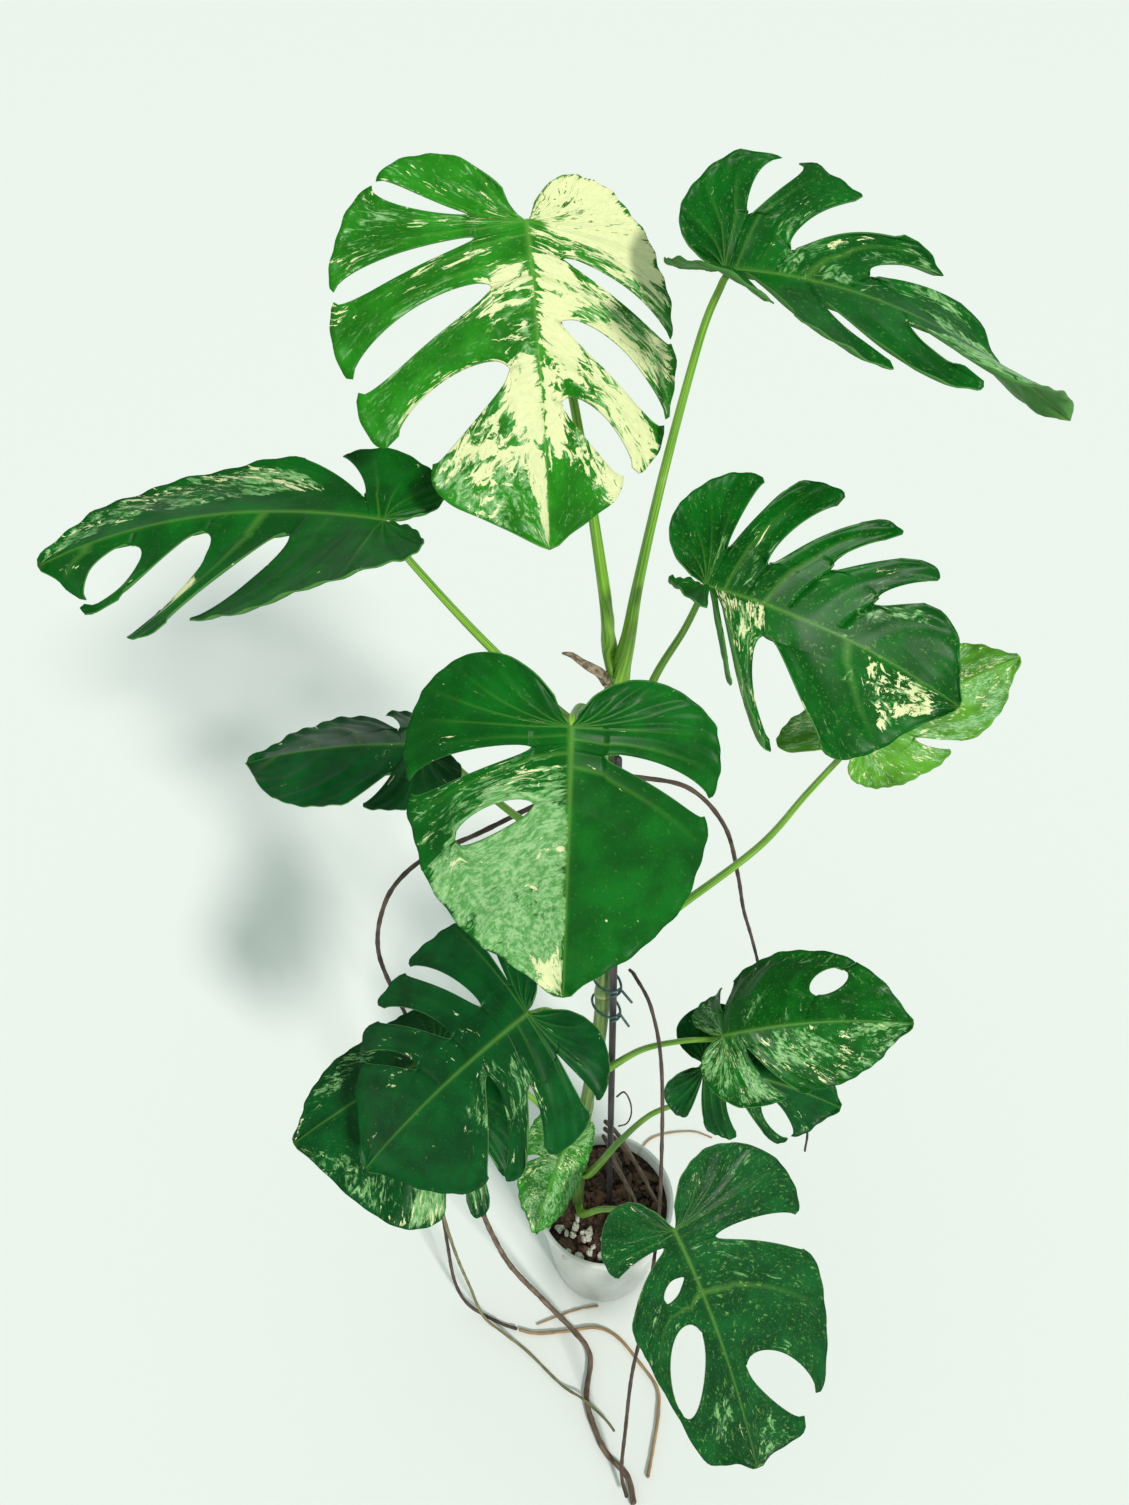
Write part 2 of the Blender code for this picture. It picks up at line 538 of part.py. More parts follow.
for name, (thick_start, thick_end, points) in ROOTS.items():
    path = smooth_path(grown(points), 2)
    share = along(path)
    radius = (thick_start + (thick_end - thick_start) * share) / 2
    inside = np.hypot(path[:, 0], path[:, 1]) < POT_TOP_DIAMETER / 2 - POT_LIP
    over_soil = inside & (path[:, 2] > SOIL_TOP - radius)
    lowest = np.where(over_soil, SOIL_TOP + radius + GAP, 0)
    path[:, 2] = np.maximum(path[:, 2], lowest)
    tube(name, path, radius, BARK)


def wire_loop(name, z, turns, tail):
    """A garden wire passed once round the stem and the stake, its ends left loose."""
    here = [np.array([np.interp(z, p[:, 2], p[:, i]) for i in (0, 1)]) for p in (stem, stake)]
    centre = sum(here) / 2
    apart = np.linalg.norm(here[0] - here[1])
    out = unit(here[0] - here[1])
    clear = GAP + TIE_WIRE / 2
    half_long = (apart + STEM_DIAMETER * 0.62 + STAKE_DIAMETER / 2) / 2 + clear + .0012
    half_short = STEM_DIAMETER * 0.62 + clear + .0012
    centre = centre + out * (STEM_DIAMETER * 0.62 - STAKE_DIAMETER / 2) / 2
    turn = np.linspace(-.10, turns, 20) * 2 * np.pi
    sideways = np.array([out[1], -out[0]])
    ring = centre - half_long * np.cos(turn)[:, None] * out + half_short * np.sin(turn)[:, None] * sideways
    height = z + (turn / (2 * np.pi) - .5) * TIE_WIRE * 2.6
    path = np.column_stack([ring, height])
    path = np.vstack([path, path[-1] + np.array(tail)])
    tube(name, path, [TIE_WIRE / 2] * len(path), WIRE)


wire_loop("tie_upper", .615 * PLANT_SCALE, 1.05, (.012, -.010, -.010))
wire_loop("tie_lower", .572 * PLANT_SCALE, 1.05, (.010, -.008, -.012))

husk = grown([(-.026, .012, 1.002), (-.034, .010, 1.008), (-.044, .008, 1.018), (-.052, .006, 1.022)])
tube("sheath_tip", husk, [.0034, .0030, .0020, .0008], HUSK)
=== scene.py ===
# %% [markdown]
# # A climbing monstera in a clear nursery pot
# The plant is a natural thing made of many pieces: a pot, loose bark, a stake, one stem, thirteen
# leaves on long stalks, and brown roots that hang in the air. A CAD model already fixes where each
# piece is. This lesson puts a finely shaped and painted surface in the place of each CAD solid.

# %% Load the frame
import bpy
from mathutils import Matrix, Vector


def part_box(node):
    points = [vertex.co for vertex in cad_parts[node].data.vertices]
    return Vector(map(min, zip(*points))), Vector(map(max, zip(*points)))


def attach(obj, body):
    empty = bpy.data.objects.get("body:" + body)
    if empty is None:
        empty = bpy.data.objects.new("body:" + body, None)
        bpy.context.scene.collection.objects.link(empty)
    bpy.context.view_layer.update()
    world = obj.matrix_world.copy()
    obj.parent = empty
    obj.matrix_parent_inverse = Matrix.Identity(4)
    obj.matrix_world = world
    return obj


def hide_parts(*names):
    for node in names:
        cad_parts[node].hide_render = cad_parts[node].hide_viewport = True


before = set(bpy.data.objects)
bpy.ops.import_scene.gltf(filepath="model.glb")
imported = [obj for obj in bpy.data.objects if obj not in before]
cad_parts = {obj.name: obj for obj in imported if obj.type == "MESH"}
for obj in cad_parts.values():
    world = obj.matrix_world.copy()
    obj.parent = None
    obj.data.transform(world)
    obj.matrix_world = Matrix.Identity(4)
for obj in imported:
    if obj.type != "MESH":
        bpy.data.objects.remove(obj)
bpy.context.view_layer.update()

from math import radians

import bmesh
import bpy
import numpy as np

# %% [markdown]
# ## Camera
# The camera looks down on the plant from a little above its highest leaf, so the leaves come out
# large and the pot small. It could be aimed with a constraint, but a plain place and tilt are easier
# to read and stay where they are put.

# %% Camera
CAMERA_PLACE = (-0.050, -0.622, 1.530)
CAMERA_DOWN = 44.0  # degrees below the horizontal
camera = bpy.data.objects.new("camera", bpy.data.cameras.new("camera"))
camera.data.lens = 27
camera.data.sensor_width = 36
camera.data.clip_end = 60
camera.location = CAMERA_PLACE
camera.rotation_euler = (radians(90 - CAMERA_DOWN), 0, 0)
bpy.context.scene.collection.objects.link(camera)
bpy.context.scene.camera = camera
print("camera at", CAMERA_PLACE, "looking down", CAMERA_DOWN, "degrees")

# %% [markdown]
# ## Writing shader maths as Python
# A node tree is hard to read as a list of links. A small class wraps one socket, so that
# `mask * 2 - 1` adds the Math nodes by itself, and a second one adds any other node in one call.

# %% Shader helpers
class Value:
    """One number socket. + - * / and comparisons each add a Math node."""

    def __init__(self, skin, socket):
        self.skin, self.socket = skin, socket

    def maths(self, operation, a, b=0.0, c=0.0):
        return self.skin.add("Math", {"operation": operation}, {0: a, 1: b, 2: c})

    def __add__(self, other):
        return self.maths("ADD", self, other)

    def __sub__(self, other):
        return self.maths("SUBTRACT", self, other)

    def __rsub__(self, other):
        return self.maths("SUBTRACT", other, self)

    def __mul__(self, other):
        return self.maths("MULTIPLY", self, other)

    def __truediv__(self, other):
        return self.maths("DIVIDE", self, other)

    def __pow__(self, other):
        return self.maths("POWER", self, other)

    __radd__, __rmul__ = __add__, __mul__

    def clamp(self):
        return self.skin.add("Clamp", {}, {"Value": self})

    def step(self, low, high):
        """0 below low, 1 above high, and a smooth rise from one to the other."""
        inputs = {"Value": self, "From Min": low, "From Max": high}
        return self.skin.add("MapRange", {"interpolation_type": "SMOOTHSTEP"}, inputs)


class Skin:
    """One material, and the one method that adds a node to it."""

    def __init__(self, name, **constants):
        self.material = bpy.data.materials.new(name)
        self.material.use_nodes = True
        self.tree = self.material.node_tree
        self.shader = self.tree.nodes["Principled BSDF"]
        self.set(**constants)

    def add(self, kind, settings, inputs, output=0):
        """Adds a node, sets its properties, fills its inputs and gives one output."""
        node = self.tree.nodes.new("ShaderNode" + kind)
        for key, value in settings.items():
            setattr(node, key, value)
        for key, value in inputs.items():
            self.plug(node.inputs[key], value)
        return Value(self, node.outputs[output])

    def plug(self, socket, value):
        if isinstance(value, Value):
            self.tree.links.new(value.socket, socket)
        else:
            socket.default_value = value

    @staticmethod
    def rgba(value):
        """A plain colour with its alpha of 1 added; anything else as it is."""
        return (*value, 1) if isinstance(value, tuple) else value

    def set(self, **inputs):
        """Sets sockets of the Principled shader, named with _ for a space."""
        for key, value in inputs.items():
            self.plug(self.shader.inputs[key.replace("_", " ")], self.rgba(value))

    def mix(self, share, a, b):
        """Colour a where share is 0 and colour b where it is 1."""
        return self.add("Mix", {"data_type": "RGBA"}, {0: share, 6: self.rgba(a), 7: self.rgba(b)}, 2)

    def place(self):
        return self.add("TexCoord", {}, {}, "Object")

    def uv(self):
        return self.add("TexCoord", {}, {}, "UV")

    def outputs(self, value):
        """The first three outputs of the node that value comes from."""
        return [Value(self, value.socket.node.outputs[i]) for i in range(3)]

    def split(self, vector):
        return self.outputs(self.add("SeparateXYZ", {}, {0: vector}))

    def layer(self, name):
        """The red, green and blue of a colour layer of the mesh."""
        colour = self.add("Attribute", {"attribute_name": name}, {})
        return self.outputs(self.add("SeparateColor", {}, {0: colour}))

    def join(self, x, y, z):
        return self.add("CombineXYZ", {}, {0: x, 1: y, 2: z})

    def noise(self, vector, scale, detail=4.0, rough=0.55, bend=0.0):
        inputs = {"Vector": vector, "Scale": scale, "Detail": detail}
        inputs |= {"Roughness": rough, "Distortion": bend}
        return self.add("TexNoise", {}, inputs)

    def bump(self, height, strength, distance):
        normal = self.add("Bump", {}, {"Strength": strength, "Distance": distance, "Height": height})
        self.plug(self.shader.inputs["Normal"], normal)


# %% [markdown]
# ## Turning a grid of numbers into a mesh
# Every new surface here is a grid: two parameters, and a formula that gives a point for each pair.
# numpy works the whole grid out at once, and this helper hands it to Blender.

# %% Mesh helpers
def unit(v):
    """The vectors scaled to length 1."""
    return v / np.linalg.norm(v, axis=-1, keepdims=True)


def grid_faces(rows, columns, start=0, closed=False):
    """The four-sided faces of a grid of rows by columns points, numbered row by row from start."""
    index = np.arange(rows * columns).reshape(rows, columns) + start
    if closed:
        index = np.hstack([index, index[:, :1]])
    return np.stack([index[:-1, :-1], index[:-1, 1:], index[1:, 1:], index[1:, :-1]], -1).reshape(-1, 4)


def make_piece(name, points, faces, skins, replaces, layers=None, uv=None, weld=1e-6, outward=True):
    """A mesh object from arrays of points and faces, riding on the body and standing for CAD nodes.
    uv and layers give a value per point. Points closer than weld are made one."""
    data = bpy.data.meshes.new(name)
    data.from_pydata(points, [], faces)
    corner = faces.ravel()
    if uv is not None:
        data.uv_layers.new(name="along").data.foreach_set("uv", uv[corner].astype(np.float32).ravel())
    for key, values in (layers or {}).items():
        layer = data.color_attributes.new(name=key, type="FLOAT_COLOR", domain="CORNER")
        rgba = np.ones((len(corner), 4), np.float32)
        rgba[:, :values.shape[1]] = values[corner]
        layer.data.foreach_set("color", rgba.ravel())
    work = bmesh.new()
    work.from_mesh(data)
    bmesh.ops.remove_doubles(work, verts=work.verts, dist=weld)
    bmesh.ops.dissolve_degenerate(work, edges=work.edges, dist=weld)
    if outward:
        bmesh.ops.recalc_face_normals(work, faces=work.faces)
    work.to_mesh(data)
    work.free()
    data.polygons.foreach_set("use_smooth", np.ones(len(data.polygons), bool))
    obj = bpy.data.objects.new(name, data)
    bpy.context.scene.collection.objects.link(obj)
    for skin in skins:
        data.materials.append(skin.material)
    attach(obj, "root")
    if replaces:
        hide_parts(*replaces)
    return obj


def smooth_path(points, steps):
    """A Catmull-Rom curve through the points, with this many samples from each to the next."""
    p = np.asarray(points, float)
    p = np.vstack([2 * p[0] - p[1], p, 2 * p[-1] - p[-2]])
    u = np.linspace(0, 1, steps, endpoint=False)[None, :, None]
    a, b, c, d = p[:-3, None], p[1:-2, None], p[2:-1, None], p[3:, None]
    path = 2 * b + (c - a) * u + (2 * a - 5 * b + 4 * c - d) * u**2 + (3 * b - a - 3 * c + d) * u**3
    return np.vstack([.5 * path.reshape(-1, 3), p[-2]])


def lengths(path):
    """How far along the path each of its points is, in metres."""
    return np.concatenate([[0], np.cumsum(np.linalg.norm(np.diff(path, axis=0), axis=1))])


def shares(path):
    """How far along the path each of its points is, as a share of the whole."""
    return lengths(path) / lengths(path)[-1]


def rounded_ends(path, radius):
    """The path and radii with extra stations at both ends, where the radius falls to a closed point."""
    turn = np.radians([0, 25, 50, 72, 90])
    ahead = unit(path[1] - path[0]), unit(path[-1] - path[-2])
    first = path[0] + ahead[0] * (radius[0] * (1 - np.sin(turn[::-1])))[:, None]
    last = path[-1] - ahead[1] * (radius[-1] * (1 - np.sin(turn)))[:, None]
    keep = slice(1, -1)
    return (np.vstack([first, path[keep], last]),
            np.concatenate([radius[0] * np.cos(turn[::-1]), radius[keep], radius[-1] * np.cos(turn)]))


UV_PER_METRE = 10


def sweep(path, shape, around=14, face=None):
    """A closed tube: at each station of the path, a ring of points shape(along, angle) metres away from
    it, in the plane across the path. Angle 0 points the way of face."""
    ahead = unit(np.gradient(path, axis=0))
    if face is None:
        face = np.eye(3)[np.argmin(np.abs(ahead).max(axis=0))]
    face = np.asarray(face, float)
    out = unit(face - (ahead @ face)[:, None] * ahead)
    side = np.cross(ahead, out)
    angle = np.linspace(0, 2 * np.pi, around, endpoint=False)
    far = lengths(path)
    r = shape(far[:, None] / far[-1], angle[None, :])
    ring = np.cos(angle)[None, :, None] * out[:, None] + np.sin(angle)[None, :, None] * side[:, None]
    points = path[:, None] + r[..., None] * ring
    uv = np.stack(np.broadcast_arrays(angle[None, :] / (2 * np.pi), far[:, None] * UV_PER_METRE), -1)
    return points.reshape(-1, 3), grid_faces(len(path), around, closed=True), uv.reshape(-1, 2)

# %% [markdown]
# ## The shape of a blade
# A monstera blade is a heart with slits between its side veins. Each half is one surface of two
# parameters: the angle at which a vein meets the margin, and the share of the way out along it. The
# slits are gaps that open between neighbouring veins. The flat half is then bent: it follows the
# curved midrib, folds up or down beside it, and curls at its margin.

# %% Blade outline and slits
# The outline of a full-width half: (angle from the tip in degrees, share of the blade's length).
HEART = [(150, .12), (141, .26), (128, .38), (110, .48), (90, .56), (70, .64), (52, .72), (36, .82),
         (22, .88), (10, .925), (4, .965), (0, 1.0)]
BACK_ANGLE = 150.0  # the angle at which the outline starts, behind the base
VEIN_CROWDING = 2.2  # how strongly the side veins crowd towards the base of the midrib
LOBE_ROUNDING = 0.14  # how much a lobe is shorter at its sides than along its middle
BLUNT_ANGLE = 20  # where a blade with a blunt end reaches out further
VEIN_SPACING = 15  # degrees of margin to each side vein


def smooth_line(xs, ys, x):
    """A smooth curve through the points (xs, ys), read at x: cubic pieces with matching slopes."""
    xs, ys = np.asarray(xs, float)[::-1], np.asarray(ys, float)[::-1]
    slope = np.gradient(ys, xs)
    i = np.clip(np.searchsorted(xs, x) - 1, 0, len(xs) - 2)
    h = xs[i + 1] - xs[i]
    t = (x - xs[i]) / h
    rise = (2 * t**3 - 3 * t**2 + 1) * ys[i] + (3 * t**2 - 2 * t**3) * ys[i + 1]
    return rise + h * ((t**3 - 2 * t**2 + t) * slope[i] + (t**3 - t**2) * slope[i + 1])


def opening(t, slit):
    """How far open the slit is at each share t along its vein, in degrees. It opens as a square root
    from its inner end, so that end is round; one that ends before the margin closes the same way."""
    _, start, wide, left, end = slit
    u = np.clip((t - start) / (end - start), 0, 1)
    if end < 1:
        return wide * 2 * np.sqrt(u * (1 - u))
    return wide * ((1 - left) * 2 * np.sqrt(u * (1 - u)) + left * np.sqrt(u))


def lobe_end(q, a, b):
    """How much shorter a lobe is towards its sides, so that its end is round. Only a side with a slit
    that reaches the margin is shortened."""
    towards_base = np.clip(1 - 2 * q, 0, 1) * (a[2] > 0 and a[4] == 1)
    towards_tip = np.clip(2 * q - 1, 0, 1) * (b[2] > 0 and b[4] == 1)
    base_side = a[3] * (1 - np.sqrt(1 - towards_base**2.5))
    tip_side = b[3] * (1 - np.sqrt(1 - towards_tip**4))
    return 1 - LOBE_ROUNDING * (base_side + tip_side)


def midrib(leaf):
    """A quadratic curve from base to tip, lifted by bow: its length so far, place, direction, the way
    the blade faces, and the blade's right."""
    base, tip = np.array(leaf["base"]), np.array(leaf["tip"])
    top = (base + tip) / 2 + np.array(leaf["bow"])
    k = np.linspace(0, 1, 81)[:, None]
    place = (1 - k)**2 * base + 2 * k * (1 - k) * top + k**2 * tip
    ahead = unit((1 - k) * (top - base) + k * (tip - top))
    face = np.array(leaf["face"])
    up = unit(face - (ahead @ face)[:, None] * ahead)
    turn = np.radians(leaf.get("twist", 0)) * k**2
    up = up * np.cos(turn) + np.cross(up, ahead) * np.sin(turn)
    return lengths(place), place, ahead, up, np.cross(up, ahead)


def read(far, table, y):
    """The rows of a table of vectors, read between its stations far at the lengths y."""
    return np.stack([np.interp(y, far, table[:, i]) for i in range(3)], -1)


def vein_angles(slits):
    """Where the side veins meet the margin: one up the middle of each lobe, more in a broad one."""
    edges = [BACK_ANGLE] + sorted([s[0] for s in slits], reverse=True) + [0.0]
    out = []
    for a, b in zip(edges, edges[1:]):
        count = max(1, round((a - b) / VEIN_SPACING))
        out += [a + (b - a) * (k + .5) / count for k in range(count)]
    return np.array(out)


def half_blade(line, half, side, angles, t, blunt):
    """Each lobe of one half: its points, their angles and shares, and how far each is from a side vein,
    a slit and the midrib. A vein leaves its foot on the midrib along a quadratic curve to the margin;
    the points step out along it in the folded plane, so a fold bends the blade without stretching it."""
    far, place, ahead, up, right = line
    length = far[-1]
    wide, back, fold_base, fold_tip, curl, slits = half
    reach_at, reach = [a for a, _ in HEART], [r for _, r in HEART]
    ends = [(max(angles), 0, 0, 0, 1)] + sorted(slits, reverse=True) + [(0, 0, 0, 0, 1)]
    veins = vein_angles(slits)
    for a, b in zip(ends, ends[1:]):
        own = angles[(angles <= a[0]) & (angles >= b[0])]
        q = (a[0] - own) / (a[0] - b[0])
        open_a, open_b = opening(t, a)[:, None] / 2, opening(t, b)[:, None] / 2
        hold = np.clip((a[0] - b[0]) / (2 * max(open_a.max() + open_b.max(), .1)), 1, 2.5)
        theta = own - open_a * (1 - q)**hold + open_b * q**hold
        r = smooth_line(reach_at, reach, theta) * length * lobe_end(q, a, b)
        r = r * (1 + blunt * np.exp(-((theta - BLUNT_ANGLE) / 12)**2))
        r = r * (1 + (back - 1) * np.clip(theta / 60 - 1.5, 0, 1))
        out_x, out_y = wide * r * np.sin(np.radians(theta)), r * np.cos(np.radians(theta))
        foot = length * np.clip(1 - theta / 90, 0, 1)**VEIN_CROWDING
        foot = foot[:1] + (foot - foot[:1]) * np.minimum(t[:, None] * 4, 1)
        s = t[:, None]
        x = 2 * s * (1 - s) * 0.6 * out_x + s**2 * out_x
        y = (1 - s)**2 * foot + 2 * s * (1 - s) * (foot + 0.2 * (out_y - foot)) + s**2 * out_y
        bend = fold_tip + (fold_base - fold_tip) * np.exp(-5 * np.clip(y / length, 0, 1))
        bend = bend + curl * (2 * x / length)**2
        bend = np.radians((bend[1:] + bend[:-1]) / 2)
        level = np.clip((y[1:] + y[:-1]) / 2, 0, length)
        dx, dy = np.diff(x, axis=0)[..., None], np.diff(y, axis=0)[..., None]
        sideways = side * np.cos(bend)[..., None] * read(far, right, level)
        sideways = sideways + np.sin(bend)[..., None] * read(far, up, level)
        step = dy * read(far, ahead, level) + dx * sideways
        start = read(far, place, foot[:1])
        points = np.concatenate([start, start + np.cumsum(step, axis=0)])
        across = np.linalg.norm(np.gradient(points, axis=1), axis=-1) / (np.abs(np.gradient(own)) + 1e-9)
        nearest = np.abs(own[:, None] - veins).argmin(axis=1)
        from_vein = np.abs(own - veins[nearest]) * across
        to_a = np.where(open_a > 0, (a[0] - own) * across, 1)
        to_b = np.where(open_b > 0, (own - b[0]) * across, 1)
        from_side = np.minimum(np.minimum(to_a, to_b), (1 - s) * .6 * length)
        yield points, own + 0 * theta, s + 0 * theta, from_vein, from_side, x, y / length


# %% [markdown]
# ## Relief and paint
# On the real blade the side veins lie in shallow grooves, and the tissue between them swells a
# little. The grid's own distance from each vein gives both, so the relief is real geometry. The same
# numbers are kept as a colour layer, and the material reads it: red is how much of the blade is
# cream there, green how much is pale green, and blue how near a vein is.

# %% Building a blade
BLADE_THICKNESS = 0.0009
VEIN_DEPTH, VEIN_WIDTH = 0.0008, 0.0030  # the groove along each side vein
PUFF, PUFF_WIDTH = 0.0011, 0.016  # the swelling between two veins
RIPPLE = 0.0016  # the wave of the margin
ROLL, ROLL_WIDTH = 0.0024, 0.005  # the edge turned under
RIB_WIDTH = 0.0017  # the flat strip along the midrib
VEIN_LINE = 0.0005  # the painted line along a side vein
PATCH_SOFT_ANGLE, PATCH_SOFT_SHARE = 7, .14  # how softly a patch of colour ends


def soft_box(x, low, high, soft):
    """1 between low and high, falling smoothly to 0 within soft of each."""
    rise = np.clip((x - low) / soft + .5, 0, 1) * np.clip((high - x) / soft + .5, 0, 1)
    return rise * rise * (3 - 2 * rise)


def patches(side, theta, t, spots):
    """Sums the leaf's patches: (side, from angle, to angle, from share, to share, cream, pale)."""
    total = np.zeros(theta.shape + (2,))
    for where, high, low, near, far, cream, pale in spots:
        if where in (0, side):
            inside = soft_box(theta, low, high, PATCH_SOFT_ANGLE) * soft_box(t, near, far, PATCH_SOFT_SHARE)
            total += inside[..., None] * np.array([cream, pale])
    return np.clip(total, 0, 1)


def edge_fade(share, start, end):
    """0 at both ends of a vein and 1 between, rising start times and falling end times as fast."""
    return np.clip(share * start, 0, 1) * np.clip((1 - share) * end, 0, 1)


def relief(own, share, from_vein, from_side, side):
    """How far the surface stands above the bent sheet: down in the grooves, up between them as a
    quarter sine, in waves towards the margin, and down again at the edge."""
    groove = np.exp(-(from_vein / VEIN_WIDTH)**2) * edge_fade(share, 5, 3)
    swell = np.sin(np.clip(from_vein / PUFF_WIDTH, 0, 1) * np.pi / 2) * edge_fade(share, 3, 4)
    wave = np.sin(own * .55 + 4 * share + side) * np.sin(own * .23 + 7 * share) * share**3
    edge = np.exp(-from_side / ROLL_WIDTH) * np.clip(share * 4, 0, 1)
    return PUFF * swell - VEIN_DEPTH * groove + RIPPLE * wave - ROLL * edge


def column_angles(leaf, spacing):
    """The angles of the grid's columns, even between the slits and with one on each slit."""
    both = leaf["left"][-1] + leaf["right"][-1]
    fixed = sorted({BACK_ANGLE, 90.0, 0.0} | {float(s[0]) for s in both}, reverse=True)
    counts = [int(np.ceil((a - b) / spacing)) for a, b in zip(fixed, fixed[1:])]
    runs = [np.linspace(a, b, n, endpoint=False) for a, b, n in zip(fixed, fixed[1:], counts)]
    return np.concatenate(runs + [[0.0]])


def row_shares(slits, rows):
    """The shares of the grid's rows: even, with more where a slit starts or ends and at the margin."""
    marks = {round(v, 3) for s in slits for v in (s[1], s[1] + .004, s[1] + .015, min(s[4], 1))}
    marks |= {.006, .014, .026, .97}
    even = [v for v in np.linspace(0, 1, rows + 1) if min(abs(v - m) for m in marks) > .008]
    return np.array(sorted(set(even) | marks | {0.0, 1.0}))


def blade(name, leaf, paint, skins, spacing=1.6, rows=30):
    """The blade as one sheet of lobes joined along their inner parts, lifted along its normal by the
    relief, then given its thickness. The second skin is its lower side."""
    line, angles = midrib(leaf), column_angles(leaf, spacing)
    points, faces, layer, uv, count = [], [], [], [], 0
    for side, half in ((-1, leaf["left"]), (1, leaf["right"])):
        lobes = half_blade(line, half, side, angles, row_shares(half[-1], rows), leaf.get("blunt", 0))
        for place, own, share, from_vein, from_side, x, y in lobes:
            down, along = np.gradient(place, axis=0), np.gradient(place, axis=1)
            normal = np.cross(along, down) * -side
            normal = normal / (np.linalg.norm(normal, axis=-1, keepdims=True) + 1e-12)
            rib = np.exp(-(x / (RIB_WIDTH * (1.1 - .8 * np.clip(y, 0, 1))))**2)
            lift = relief(own, share, from_vein, from_side, side) * (1 - rib)
            points.append((place + lift[..., None] * normal).reshape(-1, 3))
            painted = np.exp(-(from_vein / VEIN_LINE)**2) * (1 - share) * .8
            painted = np.maximum(painted, rib * (1 - .5 * np.clip(y, 0, 1)))[..., None]
            layer.append(np.concatenate([patches(side, own, share, paint), painted], -1).reshape(-1, 3))
            uv.append(np.stack([side * own / BACK_ANGLE, share], -1).reshape(-1, 2))
            square = grid_faces(*own.shape, start=count)
            faces.append(square if side > 0 else square[:, ::-1])
            count += own.size
    layers = {"paint": np.concatenate(layer)}
    obj = make_piece("leaf_" + name, np.concatenate(points), np.concatenate(faces), skins,
                     ["blade_" + name], layers, np.concatenate(uv), weld=2e-6, outward=False)
    thick = obj.modifiers.new("thickness", "SOLIDIFY")
    thick.thickness = BLADE_THICKNESS
    thick.offset = 0
    thick.material_offset = 1
    thick.material_offset_rim = 1
    return obj


# %% [markdown]
# ## The colour of a blade
# The upper side is a deep green with a faint mottle. Where a cell line has lost its green the blade
# is cream, in streaks that run along the veins, because each streak grew from one cell. So the
# pattern is a noise stretched along the veins, cut at a level that the paint layer sets.

# %% Leaf finishes
CREAM = (0.78, 0.82, 0.44)
PALE = (0.34, 0.58, 0.26)
PALE_SHADE = (0.10, 0.32, 0.08)
FLECK = (0.22, 0.46, 0.10)
VEIN = (0.17, 0.40, 0.06)
VEIN_BELOW = (0.30, 0.46, 0.14)


def shaded(colour, share):
    return tuple(min(1, share * c) for c in colour)


def streaks(skin, u, v, seed, level, soft):
    """A mask of streaks along the veins that covers a share of the blade near to level."""
    grain = skin.noise(skin.join(u * 62, v * 6.5, seed), 1.0, 9.0, .68, .9)
    patch = skin.noise(skin.join(u * 11, v * 2.0, seed + 5), 1.0, 3.0, .5, .4)
    height = (grain * .64 + patch * .36 - .5) * 3.6 + .5
    return (height + level * 1.04 - 1.02).step(0.0, soft)


def leaf_skin(name, green, seed, speckle):
    """The upper side: green, then pale and cream streaks, small flecks and the veins over it."""
    skin = Skin(name, Specular_IOR_Level=0.12)
    red, pale_level, vein = skin.layer("paint")
    place = skin.place()
    u, v, _ = skin.split(skin.uv())
    cream = streaks(skin, u, v, seed, red, .05)
    pale = streaks(skin, u, v, seed + 7.3, pale_level, .30)
    fleck = skin.noise(skin.join(u * 110, v * 22, seed + 3.1), 1.0, 6.0, .75)
    fleck = fleck.step(.62 - .05 * speckle, .69)
    dots = skin.noise(place, 480, 2.0, .5).step(.66 - .03 * speckle, .72)
    fine = skin.noise(skin.join(u * 150, v * 16, seed + 9.7), 1.0, 6.0, .7).step(.40, .62)
    mottle = skin.noise(place, 34, 4.0)
    colour = skin.mix(mottle.step(.35, .7), shaded(green, .72), shaded(green, 1.3))
    colour = skin.mix(pale * .9, colour, skin.mix(fine, PALE_SHADE, PALE))
    colour = skin.mix((dots * .2 + fleck * .55).clamp() * speckle, colour, FLECK)
    colour = skin.mix(cream, colour, skin.mix(fine * .5 + mottle * .4, shaded(CREAM, .8), CREAM))
    colour = skin.mix(vein * .42, colour, VEIN)
    skin.set(Base_Color=colour, Roughness=mottle * .14 + .31)
    skin.bump(skin.noise(place, 900, 2.0) * .3 + mottle * .7, .10, .001)
    return skin


def underside_skin(name, green, seed):
    """The lower side: paler, duller, with the veins standing out."""
    skin = Skin(name, Roughness=.55, Specular_IOR_Level=0.15)
    red, _, vein = skin.layer("paint")
    u, v, _ = skin.split(skin.uv())
    cream = streaks(skin, u, v, seed, red, .06)
    base = (.070 + 1.4 * green[0], .165 + .7 * green[1], .045 + .4 * green[2])
    lines = skin.noise(skin.join(u * 60, v * 2, seed), 1.0, 4.0, .6)
    colour = skin.mix(lines.step(.3, .7), shaded(base, .75), base)
    colour = skin.mix(cream * .8, colour, shaded(CREAM, .8))
    skin.set(Base_Color=skin.mix(vein * .6, colour, VEIN_BELOW))
    return skin

# %% [markdown]
# ## The thirteen leaves
# Each leaf has a place, a facing and two halves. A half is its width, how far it runs back past the
# base, its fold at the base and at the tip, its curl, and its slits; a slit is the angle of its vein,
# where it starts, its widest opening in degrees, how much stays open at the margin, and where it ends.

